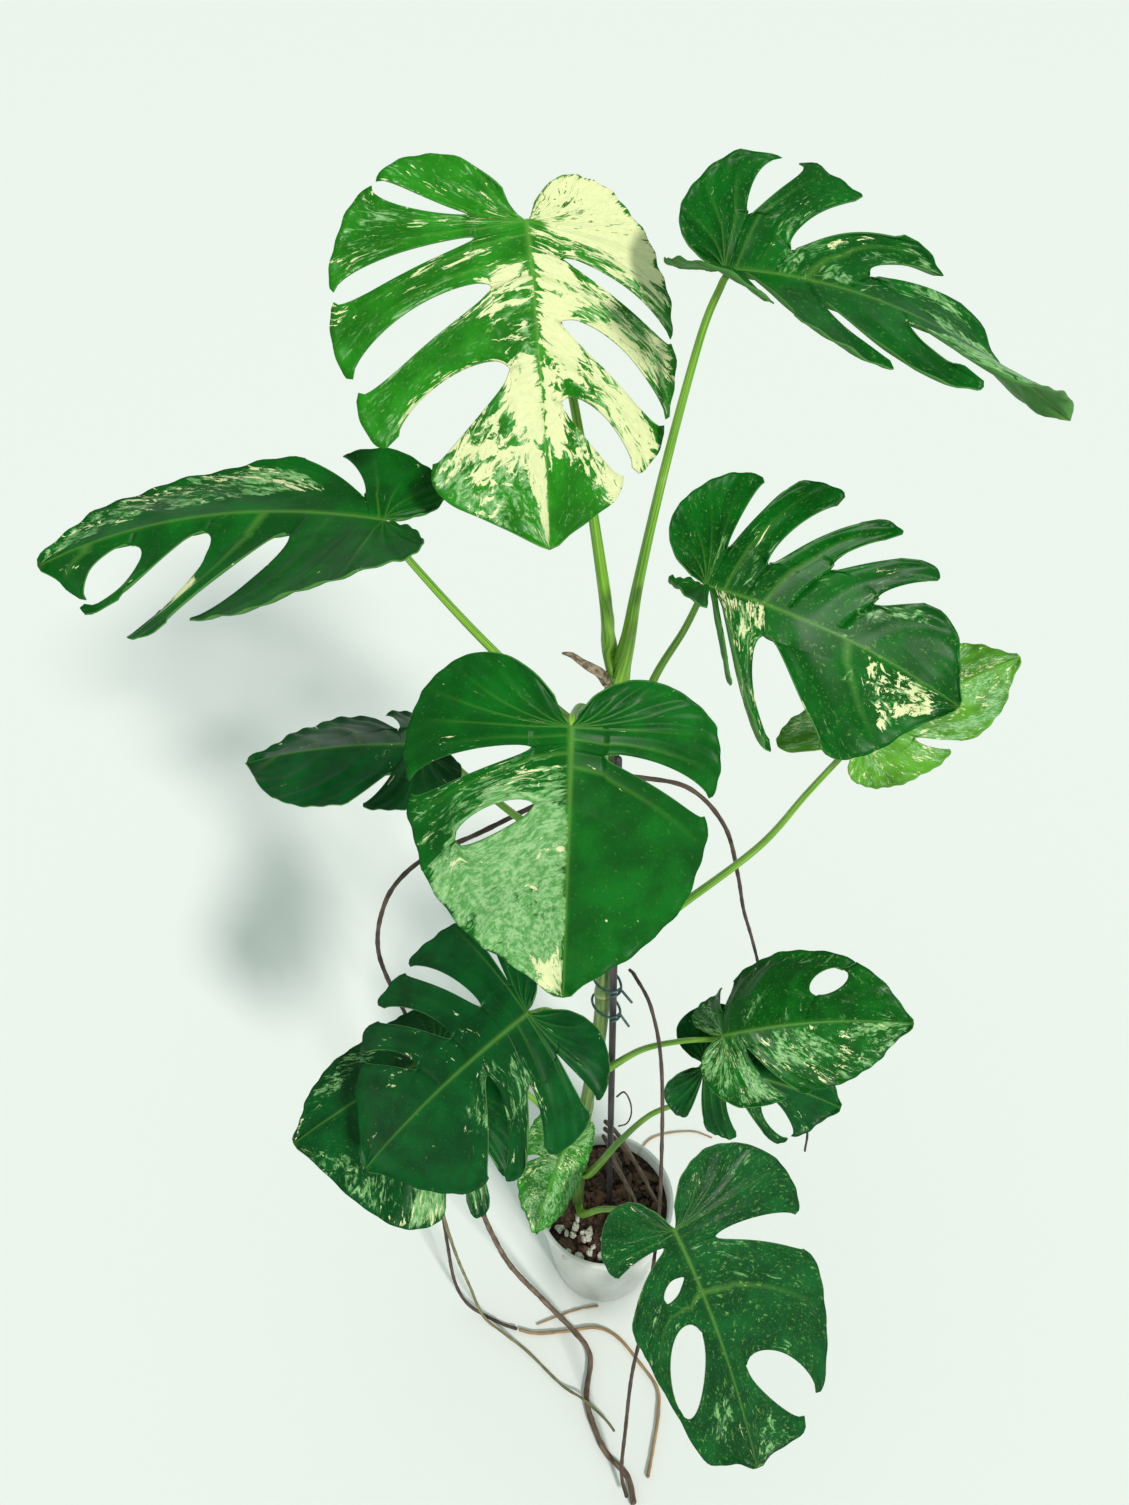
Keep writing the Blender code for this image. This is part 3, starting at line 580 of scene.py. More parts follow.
# %% Leaf shapes
POT_TOP, _, POT_HEIGHT = [float(v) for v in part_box("pot")[1]]
SOIL_TOP = float(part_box("substrate")[1][2])
LEAVES = {
    "top_left": {
        "base": (-.072, .069, 1.295), "tip": (-.059, -.04, 1.14), "bow": (.004, -.012, .004),
        "face": (.06, -.82, .57),
        "left": (1.08, 1, -4, -6, -6, [(112, .35, 9, .2, 1), (75, .23, 11, .25, 1), (51, .19, 12, .3, 1),
            (30, .2, 14, .7, 1)]),
        "right": (.98, .65, -36, -30, -6, [(62, .19, 8, .2, 1), (40, .16, 9, .2, 1),
            (23, .19, 8, .4, 1)]),
        "petiole": [(-.0175, .0225, 1.012), (-.0195, .0205, 1.04), (-.024, .022, 1.075),
            (-.036, .042, 1.147), (-.054, .07, 1.233), (-.07, .078, 1.286)],
        "flare": .2,
    },
    "top_right": {
        "base": (.042, .039, 1.278), "tip": (.246, -.012, 1.211), "bow": (0, 0, .04),
        "face": (.06, -.5, .86),
        "left": (.5, .25, 55, 0, -40, [(72, .3, 8, .6, 1), (46, .35, 5, .7, 1), (27, .3, 9, .9, 1)]),
        "right": (.55, .2, 22, -10, -40, [(78, .42, 12, .3, 1), (55, .25, 14, .9, 1),
            (37, .35, 12, .8, 1)]),
        "petiole": [(-.0085, .0135, 1.002), (-.004, .0155, 1.03), (.001, .018, 1.076), (.014, .022, 1.16),
            (.031, .034, 1.24), (.041, .04, 1.268)],
        "twist": 95,
        "flare": .9,
    },
    "left": {
        "base": (-.165, -.003, 1.137), "tip": (-.405, .012, 1.092), "bow": (0, 0, .042),
        "face": (-.1, -.2, .97),
        "left": (.4, .3, 10, -26, -6, [(70, .3, 12, .8, 1)]),
        "right": (.66, .1, 30, -8, -22, [(47, .22, 11, .6, 1), (28, .18, 14, .9, 1),
            (15, .22, 10, .2, 1)]),
        "petiole": [(-.026, -.002, .944), (-.064, -.008, .99), (-.108, -.012, 1.051),
            (-.144, -.012, 1.104), (-.162, -.006, 1.128)],
        "twist": 45,
    },
    "right": {
        "base": (.042, -.015, 1.095), "tip": (.216, -.054, 1.024), "bow": (0, 0, .022),
        "face": (.2, -.5, .84),
        "left": (.85, .15, 60, -34, -24, [(86, .2, 8, .9, 1), (72, .12, 8, .9, 1), (46, .22, 20, .8, 1)]),
        "right": (.78, .55, 4, 20, 4, [(75, .32, 10, .8, 1), (53, .3, 10, .8, 1), (39, .5, 7, .9, 1),
            (26, .52, 7, .9, 1)]),
        "petiole": [(.003, 0, .94), (.014, .004, .997), (.032, -.004, 1.05), (.041, -.008, 1.082)],
    },
    "right_small": {
        "base": (.166, -.026, .968), "tip": (.275, .004, 1.02), "bow": (0, 0, .01),
        "face": (-.3, -.5, .8),
        "left": (.66, .6, -40, -35, -10, [(48, .45, 8, .8, 1)]),
        "right": (.62, 2.2, -20, -16, -8, [(60, .45, 10, .8, 1)]),
        "petiole": [(.006, -.004, .69), (.054, -.01, .759), (.108, -.016, .839), (.137, -.018, .903),
            (.16, -.022, .955)],
    },
    "centre": {
        "base": (-.046, -.144, 1.089), "tip": (-.051, -.224, .934), "bow": (0, -.01, .006),
        "face": (0, -.88, .47),
        "left": (1, 1, -10, -16, -10, [(66, .2, 12, .35, 1), (43, .2, 8, 0, .74)]),
        "right": (.9, .45, -10, -16, -10, [(62, .2, 12, .5, 1)]),
        "petiole": [(-.018, -.006, .905), (-.026, -.04, .985), (-.038, -.095, 1.06),
            (-.045, -.134, 1.088)],
    },
    "left_back": {
        "base": (-.155, -.007, .944), "tip": (-.298, .005, .913), "bow": (0, 0, .014),
        "face": (-.12, .16, .97),
        "left": (.8, .9, -12, -10, -10, [(55, .4, 10, .8, 1)]),
        "right": (.75, .9, -12, -10, -8, [(62, .45, 9, .8, 1)]),
        "petiole": [(-.026, .016, .8), (-.07, .01, .828), (-.108, 0, .88), (-.146, -.006, .936)],
    },
    "lower_left": {
        "base": (-.08, -.108, .738), "tip": (-.223, -.168, .589), "bow": (-.01, -.01, .022),
        "face": (-.38, -.67, .64),
        "left": (.9, .4, -20, -16, -14, [(90, .25, 8, .6, 1), (57, .25, 7, .4, 1), (40, .25, 7, .6, 1),
            (27, .35, 5, .5, 1)]),
        "right": (.8, .6, -8, -10, -12, [(88, .38, 9, .6, 1), (58, .45, 8, .9, 1), (42, .18, 9, .6, 1)]),
        "petiole": [(-.024, -.012, .5), (-.036, -.045, .6), (-.06, -.085, .705), (-.076, -.102, .73)],
    },
    "lower_left_back": {
        "base": (-.166, -.06, .6), "tip": (-.302, -.12, .54), "bow": (0, 0, .012),
        "face": (-.24, -.5, .84),
        "left": (.55, 1, -18, -14, -10, [(60, .4, 8, .7, 1)]),
        "right": (1.52, 1, -4, -4, -6, [(86, .45, 12, .9, 1), (60, .4, 12, .9, 1)]),
        "petiole": [(-.041, .004, .316), (-.085, -.012, .43), (-.13, -.04, .555), (-.158, -.056, .593)],
    },
    "at_pot": {
        "base": (-.048, -.06, .42), "tip": (-.082, -.094, .282), "bow": (-.008, -.01, .006),
        "face": (-.35, -.88, .3),
        "left": (.55, 1, -30, -24, -10, [(50, .5, 6, .8, 1)]),
        "right": (.34, 1, -30, -24, -10, []),
        "petiole": [(-.038, -.012, .235), (-.046, -.03, .32), (-.047, -.052, .412)],
    },
    "lower_right": {
        "base": (.097, -.05, .612), "tip": (.282, -.03, .6), "bow": (0, 0, .026),
        "face": (.05, -.4, .91),
        "left": (.62, .3, 0, -34, -20, [(62, .2, 8, .6, 1)]),
        "right": (.7, .2, -50, 2, -22, [(80, .45, 10, .6, 1), (30, .4, 10, 0, .85)]),
        "petiole": [(-.012, -.006, .47), (.025, -.022, .54), (.061, -.04, .586), (.089, -.049, .604)],
    },
    "lower_right_under": {
        "base": (.086, -.043, .548), "tip": (.226, -.058, .492), "bow": (0, 0, .018),
        "face": (.16, -.4, .9),
        "left": (.74, .9, -30, -24, -16, [(88, .15, 14, .9, 1), (50, .2, 18, .9, 1),
            (30, .3, 12, .2, 1)]),
        "right": (.7, .8, 4, 0, -12, [(70, .4, 10, .8, 1), (40, .4, 10, .8, 1)]),
        "petiole": [(-.02, -.01, .25), (.012, -.02, .35), (.04, -.03, .425), (.074, -.038, .475),
            (.082, -.042, .538)],
    },
    "bottom_right": {
        "base": (.057, -.154, .431), "tip": (.146, -.3, .208), "bow": (.01, .008, .014),
        "face": (.14, -.8, .58),
        "left": (.5, .5, -14, -16, -16, [(70, .2, 16, .95, 1), (50, .12, 6, 0, .45),
            (32, .2, 15, 0, .95)]),
        "right": (.8, .75, -10, -12, -12, [(62, .25, 15, .8, 1), (20, .2, 13, .45, 1)]),
        "blunt": .14,
        "petiole": [(-.028, -.022, SOIL_TOP + .016), (-.008, -.05, .243), (.02, -.085, .32),
            (.041, -.115, .376), (.053, -.148, .423)],
    },
}

# %% Leaf colours
GREENS = {"deep": (0.001, 0.092, 0.005), "mid": (0.014, 0.180, 0.006), "blue": (0.001, 0.066, 0.010),
          "light": (0.085, 0.28, 0.02)}
# Each patch is (half: -1 left, 1 right, 0 both; from angle, to angle; from share, to share; cream; pale).
PAINT = {
    "top_left": ("mid", 1, [(-1, 150, 30, 0, 1, .24, .34), (-1, 30, 0, 0, 1, .46, .62),
        (0, 60, 0, 0, .25, .3, .1), (1, 150, 78, .1, 1, .8, .3), (1, 78, 14, 0, 1, .5, .5),
        (1, 14, 0, 0, 1, 0, .1)]),
    "top_right": ("deep", .9, [(1, 150, 60, 0, 1, .02, .2), (1, 60, 30, 0, 1, .12, .42),
        (0, 27, 0, .2, 1, 0, .8)]),
    "left": ("deep", .4, [(-1, 62, 0, .35, 1, .3, .55), (1, 36, 30, .55, .85, .62, 0),
        (-1, 150, 62, 0, 1, 0, .1)]),
    "right": ("deep", 1, [(1, 150, 20, 0, 1, .06, .3), (-1, 150, 70, 0, 1, .14, .3),
        (-1, 72, 44, 0, 1, .36, .45), (-1, 20, 3, .05, .9, .5, .5), (-1, 40, 20, .2, 1, .05, .2)]),
    "right_small": ("light", .8, [(0, 150, 0, 0, 1, .28, .55)]),
    "centre": ("deep", .4, [(-1, 150, 66, 0, 1, .03, .15), (-1, 66, 43, 0, 1, .24, .5),
        (-1, 43, 4, 0, 1, .14, .94), (-1, 9, 0, .1, 1, .66, .7), (1, 150, 0, 0, 1, 0, .05)]),
    "left_back": ("blue", .1, []),
    "lower_left": ("blue", .3, [(1, 62, 30, .1, .9, .14, .36), (-1, 30, 20, .45, .62, .4, .2)]),
    "lower_left_back": ("blue", .7, [(0, 60, 0, .55, 1, .14, .45), (1, 90, 40, .6, 1, .2, .4)]),
    "at_pot": ("mid", 1, [(0, 150, 0, 0, 1, .22, .62)]),
    "lower_right": ("deep", .9, [(-1, 150, 0, 0, 1, .22, .52), (1, 150, 90, 0, 1, .2, .5),
        (1, 90, 0, 0, 1, .02, .28)]),
    "lower_right_under": ("blue", .5, [(-1, 60, 20, 0, 1, .06, .35)]),
    "bottom_right": ("blue", 1.2, [(0, 150, 0, 0, 1, 0, .22), (-1, 22, 10, .3, .8, .1, .34),
        (1, 16, 0, .5, 1, .04, .3)]),
}

# %% Make the leaves
for number, (name, (green, speckle, spots)) in enumerate(PAINT.items()):
    seed = 3.7 * number + 1.3
    skins = [leaf_skin("leaf_" + name, GREENS[green], seed, speckle),
             underside_skin("under_" + name, GREENS[green], seed)]
    piece = blade(name, LEAVES[name], spots, skins)
    print(piece.name, len(piece.data.polygons), "faces")

# %% [markdown]
# ## Stalks
# Each leaf stands on a petiole: round below, with a groove down the side that faces the stem. Near
# the stem it widens into a pair of thin wings, and it thins towards the blade. A profile that changes
# along a path gives all of this in one surface. Its foot is sunk in the stem, so no joint shows.

# %% Petioles
def stalk_skin(name, dark, light, seed):
    """Yellow-green, with long streaks along the stalk and paler blotches."""
    skin = Skin(name, Roughness=.42, Specular_IOR_Level=.4)
    u, v, _ = skin.split(skin.uv())
    streak = skin.noise(skin.join(u * 22, v * 1.2, seed), 1.0, 5.0, .6, .4)
    soft = skin.noise(skin.place(), 60, 3.0)
    colour = skin.mix(streak.step(.38, .62), dark, light)
    colour = skin.mix(soft.step(.55, .75) * .35, colour, (0.40, 0.52, 0.20))
    skin.set(Base_Color=colour)
    skin.bump(streak, .25, .001)
    return skin


STEM_DIAMETER = 0.014
STEM_TOP = 1.000
STEM = [(-.033, .0, SOIL_TOP - .030), (-.033, .0, .200), (-.030, .0, .300), (-.026, .002, .386),
        (-.018, .008, .470), (-.013, .0130, .540), (-.012, .0140, .600), (-.012, .0140, .700),
        (-.013, .0140, .800), (-.014, .0140, .900), (-.014, .0140, .960), (-.013, .0130, STEM_TOP)]
stem_line = smooth_path(STEM, 4)


def on_stem(z):
    """The stem's own line at height z."""
    return np.array([np.interp(z, stem_line[:, 2], stem_line[:, i]) for i in (0, 1)] + [z])


PETIOLE_DIAMETER = 0.0075
ROOTED = 0.10  # share of a stalk that is wrapped round the stem or sunk in it
SUNK, WRAPPED = 0.014, 0.040  # how far below its first point a stalk starts: plain, and as a sheath
SHEATH_FLARE = 0.5  # a stalk that flares more than this wraps the stem
UNDER_BLADE = 0.0024  # how far a stalk's end stays under the blade's surface
stalk = stalk_skin("stalk", (0.075, 0.25, 0.012), (0.26, 0.50, 0.045), 2.0)
for name, leaf in LEAVES.items():
    start, base, tip = np.array(leaf["petiole"][0]), np.array(leaf["base"]), np.array(leaf["tip"])
    flare = leaf.get("flare", 0)
    foot = on_stem(min(start[2] - (WRAPPED if flare > SHEATH_FLARE else SUNK), STEM_TOP - .006))
    under_blade = base + (tip - base) * .010 - unit(np.array(leaf["face"])) * UNDER_BLADE
    path = smooth_path([tuple(foot)] + leaf["petiole"] + [tuple(under_blade)], 14)
    level = path[-1] - path[0]
    facing = np.array([-level[0], -level[1], max(.35, .6 * np.hypot(level[0], level[1]))])
    share = shares(path)
    past = np.clip((share - ROOTED) / (1 - ROOTED), 0, 1)
    flared = flare * np.exp(-past / .12) * (.72 + .28 * np.clip(share / ROOTED, 0, 1))
    radius = PETIOLE_DIAMETER / 2 * (1.25 + flared - .65 * past**.6)
    path, radius = rounded_ends(path, radius)

    def shape(s, angle, radius=radius):
        """A circle, pressed in at angle 0 by the groove, with its lips raised near the stem."""
        winged = np.clip(1 - s / .45, 0, 1) * np.clip(s / ROOTED, 0, 1)
        turn = (angle + np.pi) % (2 * np.pi) - np.pi
        groove = (.14 + .30 * winged) * np.exp(-(turn / .42)**2)
        lips = (.05 + .30 * winged) * np.exp(-((np.abs(turn) - .85) / .22)**2)
        return radius[:, None] * (1 - groove + lips)

    points, faces, uv = sweep(path, shape, 20, facing)
    make_piece("stalk_" + name, points, faces, [stalk], ["petiole_" + name], uv=uv)
print("petioles made")

# %% [markdown]
# ## Stem and sheath
# The stem is one thick green tube with a swollen ring wherever a leaf once joined. Each ring has a
# pale scar line over a thin dark one, so the colour follows the same numbers as the swelling.

# %% Stem
RINGS = np.array([.16, .30, .42, .53, .64, .74, .84, .95])  # where leaves joined, as shares of the stem
AROUND_STEM = 24

stem_skin = Skin("stem_green", Roughness=.5, Specular_IOR_Level=.35)
u, v, _ = stem_skin.split(stem_skin.uv())
lines = stem_skin.noise(stem_skin.join(u * 16, v * 2.0, 5.0), 1.0, 5.0, .6, .3)
patch = stem_skin.noise(stem_skin.place(), 30, 4.0)
green = stem_skin.mix(lines.step(.35, .65), (0.085, 0.170, 0.040), (0.20, 0.32, 0.085))
green = stem_skin.mix(patch.step(.58, .72) * .6, green, (0.19, 0.15, 0.07))
pale_ring, dark_ring, _ = stem_skin.layer("rings")
green = stem_skin.mix(pale_ring * .8, green, (0.42, 0.42, 0.24))
stem_skin.set(Base_Color=stem_skin.mix(dark_ring * .8, green, (0.05, 0.035, 0.02)))
stem_skin.bump(lines + patch, .3, .001)

path = smooth_path(STEM, 24)
share = shares(path)
swell = 1 + .16 * np.exp(-((share[:, None] - RINGS) / .010)**2).sum(1)
path, radius = rounded_ends(path, STEM_DIAMETER / 2 * (1.06 - .05 * share) * swell)


def uneven(s, a):
    """A circle, a little oval and a little knobbly, both turning along the stem."""
    return radius[:, None] * (1 + .04 * np.cos(2 * a + 6 * s) + .02 * np.sin(5 * a + 40 * s))


points, faces, uv = sweep(path, uneven, AROUND_STEM)
from_ring = shares(path)[:, None] - RINGS
pale_line = np.exp(-(from_ring / .0022)**2).sum(1)
dark_line = np.exp(-((from_ring + .0045) / .0012)**2).sum(1)
rings = np.repeat(np.stack([pale_line, dark_line], -1), AROUND_STEM, axis=0)
make_piece("stem_green", points, faces, [stem_skin], ["stem"], {"rings": rings}, uv)

husk_skin = Skin("husk", Roughness=.85)
husk_grain = husk_skin.noise(husk_skin.place(), 300, 3.0).step(.35, .65)
husk_skin.set(Base_Color=husk_skin.mix(husk_grain, (0.12, 0.08, 0.05), (0.36, 0.29, 0.20)))
husk = smooth_path([(-.017, .010, .990), (-.024, .009, 1.000), (-.034, .010, 1.008),
                    (-.044, .008, 1.018), (-.052, .006, 1.022)], 8)
husk_radius = np.interp(np.linspace(0, 1, len(husk)), [0, .4, .75, 1], [.0040, .0032, .0020, .0008])
husk, husk_radius = rounded_ends(husk, husk_radius)
points, faces, uv = sweep(husk, lambda s, a: husk_radius[:, None] * (1 + .25 * np.cos(3 * a + 9 * s)), 18)
make_piece("husk_tip", points, faces, [husk_skin], ["sheath_tip"], uv=uv)
print("stem and husk made")

# %% [markdown]
# ## Stake and ties
# The stake is a thin dark rod. Two lengths of coated garden wire hold the stem to it.

# %% Stake and ties
STAKE_DIAMETER = 0.007
TIE_WIRE, GAP = 0.0026, 0.0004
TIES = {"tie_upper": (.615, (.012, -.010, -.010)), "tie_lower": (.572, (.010, -.008, -.012))}

stake_skin = Skin("stake_dark", Roughness=.55)
x, y, z = stake_skin.split(stake_skin.place())
grain = stake_skin.noise(stake_skin.join(x * 260, y * 260, z * 18), 1.0, 4.0)
stake_skin.set(Base_Color=stake_skin.mix(grain.step(.35, .7), (0.022, 0.016, 0.022), (0.070, 0.052, 0.060)))
stake_skin.bump(grain, .4, .001)
STAKE = np.array([(.008, .0, .030), (-.009, .0, .925)])
path = STAKE[0] + np.linspace(0, 1, 60)[:, None] * (STAKE[1] - STAKE[0])
path, radius = rounded_ends(path, np.full(60, STAKE_DIAMETER / 2))
points, faces, uv = sweep(path, lambda s, a: radius[:, None] * (1 + .015 * np.cos(7 * a)), 28)
make_piece("stake_rod", points, faces, [stake_skin], ["stake"], uv=uv)

wire_skin = Skin("tie_green", Roughness=.42)
wear = wire_skin.noise(wire_skin.place(), 240, 3.0).step(.4, .7)
wire_skin.set(Base_Color=wire_skin.mix(wear, (0.016, 0.055, 0.052), (0.05, 0.12, 0.11)))


def tie_path(z, tail):
    """One turn of an oval round the stem and the stake at height z, rising as it goes, and its end."""
    lines = (stem_line, STAKE)
    stem_at, stake_at = [np.array([np.interp(z, p[:, 2], p[:, i]) for i in (0, 1)]) for p in lines]
    apart, out = np.linalg.norm(stem_at - stake_at), unit(stem_at - stake_at)
    stem_reach, stake_reach = STEM_DIAMETER * .62, STAKE_DIAMETER / 2
    clear = GAP + TIE_WIRE / 2 + .0012
    long = (apart + stem_reach + stake_reach) / 2 + clear
    short = stem_reach + clear
    centre = (stem_at + stake_at) / 2 + out * (stem_reach - stake_reach) / 2
    turn = np.linspace(-.10, 1.05, 90) * 2 * np.pi
    across = np.array([out[1], -out[0]])
    ring = centre - long * np.cos(turn)[:, None] * out + short * np.sin(turn)[:, None] * across
    path = np.column_stack([ring, z + (turn / (2 * np.pi) - .5) * TIE_WIRE * 2.6])
    return np.vstack([path, path[-1] + np.linspace(.15, 1, 12)[:, None] * np.array(tail)])


for name, (z, tail) in TIES.items():
    path = tie_path(z, tail)
    path, radius = rounded_ends(path, np.full(len(path), TIE_WIRE / 2))
    points, faces, uv = sweep(path, lambda s, a: radius[:, None] + 0 * a, 12, (0, 0, 1))
    make_piece(name + "_wire", points, faces, [wire_skin], [name], uv=uv)
print("stake and", len(TIES), "ties made")

# %% [markdown]
# ## Aerial roots
# The roots are round and brown, thin where they are young, with a rough skin and here and there a
# small swelling. Each is a tube whose radius is its own slow noise, made from a few sine waves.

# %% Roots
ROOTS = {
    "root_left_loop": (.0045, .004, [(-.031, .022, .874), (-.075, .03, .838), (-.123, .03, .804),
        (-.173, .03, .771), (-.204, .03, .733), (-.22, .026, .695), (-.228, .024, .65), (-.226, .026, .6),
        (-.207, .014, .52), (-.195, -.015, .42), (-.192, -.045, .3), (-.191, -.055, .158),
        (-.188, -.062, .06), (-.172, -.073, .014), (-.134, -.09, .003), (-.11, -.098, .003)]),
    "root_floor_tan": (.004, .004, [(-.108, -.0985, .003), (-.084, -.103, .0025), (-.046, -.1, .0025),
        (-.01, -.096, .0025), (.018, -.108, .0025), (.045, -.139, .0025), (.064, -.166, .0025),
        (.064, -.193, .0025), (.055, -.233, .0025), (.047, -.262, .0025)]),
    "root_olive": (.004, .003, [(-.187, -.074, .41), (-.184, -.082, .32), (-.176, -.088, .22),
        (-.166, -.082, .1), (-.152, -.092, .03), (-.126, -.106, .011), (-.095, -.126, .003),
        (-.054, -.163, .004), (-.026, -.182, .012), (-.001, -.203, .011), (.01, -.216, .011)]),
    "root_thick": (.0056, .007, [(-.15, -.066, .33), (-.134, -.07, .225), (-.115, -.075, .146),
        (-.078, -.082, .06), (-.04, -.103, .016), (-.018, -.13, .005), (-.023, -.178, .004),
        (-.013, -.213, .004), (0, -.237, .004), (.024, -.261, .004), (.03, -.289, .0036)]),
    "root_front_drop": (.0034, .0044, [(.0115, .003, .641), (.016, -.012, .651), (.029, -.048, .652),
        (.039, -.08, .602), (.044, -.12, .465), (.042, -.15, .361), (.035, -.178, .27),
        (.024, -.205, .175), (.019, -.235, .086), (.016, -.262, .024), (.022, -.284, .012)]),
    "root_right_hanging": (.004, .0026, [(.003, .024, .88), (.051, .022, .868), (.084, .014, .83),
        (.105, .028, .75), (.121, .048, .674), (.14, .062, .602), (.176, .06, .47), (.204, .024, .388),
        (.224, .002, .338), (.226, -.008, .3)]),
    "root_drain_back": (.003, .0022, [(.052, .062, .002), (.055, .1, .0016), (.058, .14, .0016),
        (.081, .164, .0016), (.132, .172, .0014), (.163, .162, .0014)]),
    "root_drain_front": (.0028, .002, [(-.006, -.069, .0018), (-.03, -.073, .0016), (-.056, -.081, .0016),
        (-.086, -.092, .0014)]),
    "root_fan_1": (.0052, .004, [(-.004, .017, .325), (.014, .016, .29), (.04, .006, .225),
        (.064, -.006, SOIL_TOP + .012), (.0695, -.01, SOIL_TOP + .0032)]),
    "root_fan_2": (.0052, .004, [(-.004, .017, .308), (.016, .02, .262), (.04, .022, .2),
        (.056, .022, SOIL_TOP + .0032)]),
    "root_fan_3": (.0048, .0036, [(.002, -.0075, .3), (.016, -.012, .255), (.034, -.018, .2),
        (.044, -.026, SOIL_TOP + .0032)]),
    "root_fan_4": (.0048, .0036, [(-.005, .017, .29), (.006, .024, .24), (.018, .034, .19),
        (.022, .04, SOIL_TOP + .0032)]),
    "root_fan_5": (.0044, .0034, [(.006, -.009, .272), (.016, -.004, .235), (.027, -.002, .19),
        (.032, -.004, SOIL_TOP + .0032)]),
    "root_curl": (.002, .0016, [(.0062, -.003, .415), (.014, -.006, .43), (.021, -.008, .412),
        (.023, -.008, .386), (.019, -.006, .362), (.01, -.004, .352)]),
}


def root_skin(name, dark, light, blotch, seed):
    """Fine grain from dark to light, with paler blotches and a rough bump."""
    skin = Skin(name, Roughness=.75, Specular_IOR_Level=.3)
    u, v, _ = skin.split(skin.uv())
    grain = skin.noise(skin.join(u * 7, v * 6, seed), 1.0, 6.0, .65, .5)
    blotches = skin.noise(skin.place(), 45, 3.0)
    colour = skin.mix(grain.step(.35, .68), dark, light)
    skin.set(Base_Color=skin.mix(blotches.step(.45, .70) * .5, colour, blotch))
    skin.bump(grain, .5, .0012)
    return skin


ROOT_SKINS = {
    "dark": root_skin("root_dark", (0.040, 0.026, 0.020), (0.105, 0.075, 0.058), (0.14, 0.10, 0.07), 1.0),
    "tan": root_skin("root_tan", (0.23, 0.145, 0.07), (0.46, 0.31, 0.17), (0.52, 0.38, 0.22), 2.0),
    "olive": root_skin("root_olive", (0.11, 0.105, 0.05), (0.24, 0.22, 0.12), (0.30, 0.27, 0.15), 3.0),
    "brown": root_skin("root_brown", (0.075, 0.050, 0.035), (0.20, 0.14, 0.10), (0.26, 0.19, 0.13), 4.0),
}
# Roots that aren't named here are brown.
ROOT_COLOURS = dict.fromkeys(["root_left_loop", "root_front_drop", "root_right_hanging", "root_curl"], "dark")
ROOT_COLOURS |= dict.fromkeys(["root_floor_tan", "root_drain_back", "root_drain_front"], "tan")
ROOT_COLOURS |= {"root_olive": "olive"}
for number, (name, (thick_start, thick_end, points)) in enumerate(ROOTS.items()):
    path = smooth_path(points, 16)
    far = lengths(path)
    radius = (thick_start + (thick_end - thick_start) * shares(path)) / 2
    radius = radius * (1 + .06 * np.sin(far * 190 + number) + .05 * np.sin(far * 433 + 2 * number))
    path, radius = rounded_ends(path, radius)
    points, faces, uv = sweep(path, lambda s, a: radius[:, None] * (1 + .05 * np.cos(3 * a + 30 * s)), 14)
    skin = ROOT_SKINS[ROOT_COLOURS.get(name, "brown")]
    make_piece(name + "_skin", points, faces, [skin], [name], uv=uv)
print(len(ROOTS), "roots made")

# %% [markdown]
# ## Pot
# The pot is thin milky plastic turned about its axis. A profile carried round the axis gives the
# wall, the rolled lip and the moulded step above the base.

# %% Pot
POT_BASE = POT_TOP * .76
POT_WALL = .0018
POT_LIP, LIP_HEIGHT = .003, .012  # how far the lip stands out, and how deep it is
AROUND_POT = 96


def turned(name, profile, around, skins, replaces):
    """The closed profile of (radius, height) carried round the Z axis."""
    r, z = np.array(profile, float).T
    angle = np.linspace(0, 2 * np.pi, around, endpoint=False)
    points = np.stack([r[:, None] * np.cos(angle), r[:, None] * np.sin(angle), z[:, None] + 0 * angle], -1)
    faces = grid_faces(len(r), around, closed=True)
    return make_piece(name, points.reshape(-1, 3), faces, skins, replaces)


def pot_radius(z):
    """The outer radius of the tapered wall at height z."""
    return POT_BASE + (POT_TOP - POT_LIP - POT_BASE) * z / POT_HEIGHT


pot_skin = Skin("pot_milky", Roughness=.28, Specular_IOR_Level=.5)
haze = pot_skin.noise(pot_skin.place(), 22, 4.0)
milk = pot_skin.mix(haze.step(.35, .7), (0.80, 0.82, 0.76), (0.90, 0.91, 0.88))
pot_skin.set(Base_Color=milk, Alpha=haze * .25 + .58)

under_lip, inside = POT_HEIGHT - LIP_HEIGHT, pot_radius(POT_HEIGHT) - POT_WALL
profile = [(0, 0), (POT_BASE - .004, 0), (POT_BASE - .001, .001), (POT_BASE, .004)]
profile += [(pot_radius(z), z) for z in np.linspace(.02, under_lip - .002, 10)]
profile += [(POT_TOP - .0015, under_lip), (POT_TOP, under_lip + .002), (POT_TOP, POT_HEIGHT - .002)]
profile += [(POT_TOP - .0006, POT_HEIGHT - .0006), (POT_TOP - .0018, POT_HEIGHT)]
profile += [(inside + .0006, POT_HEIGHT), (inside, POT_HEIGHT - .001)]
profile += [(pot_radius(z) - POT_WALL, z) for z in np.linspace(under_lip, .006, 10)]
profile += [(POT_BASE - .004, POT_WALL), (0, POT_WALL)]
turned("pot_shell", profile, AROUND_POT, [pot_skin], ["pot"])
print("pot made,", POT_TOP * 2, "m across its lip")

# %% [markdown]
# ## Substrate
# The mix is dark red-brown bark chips with white pumice. A lumpy plug fills the pot, and a few
# hundred chips with a handful of faces each lie on it, so the surface has real gaps and edges.

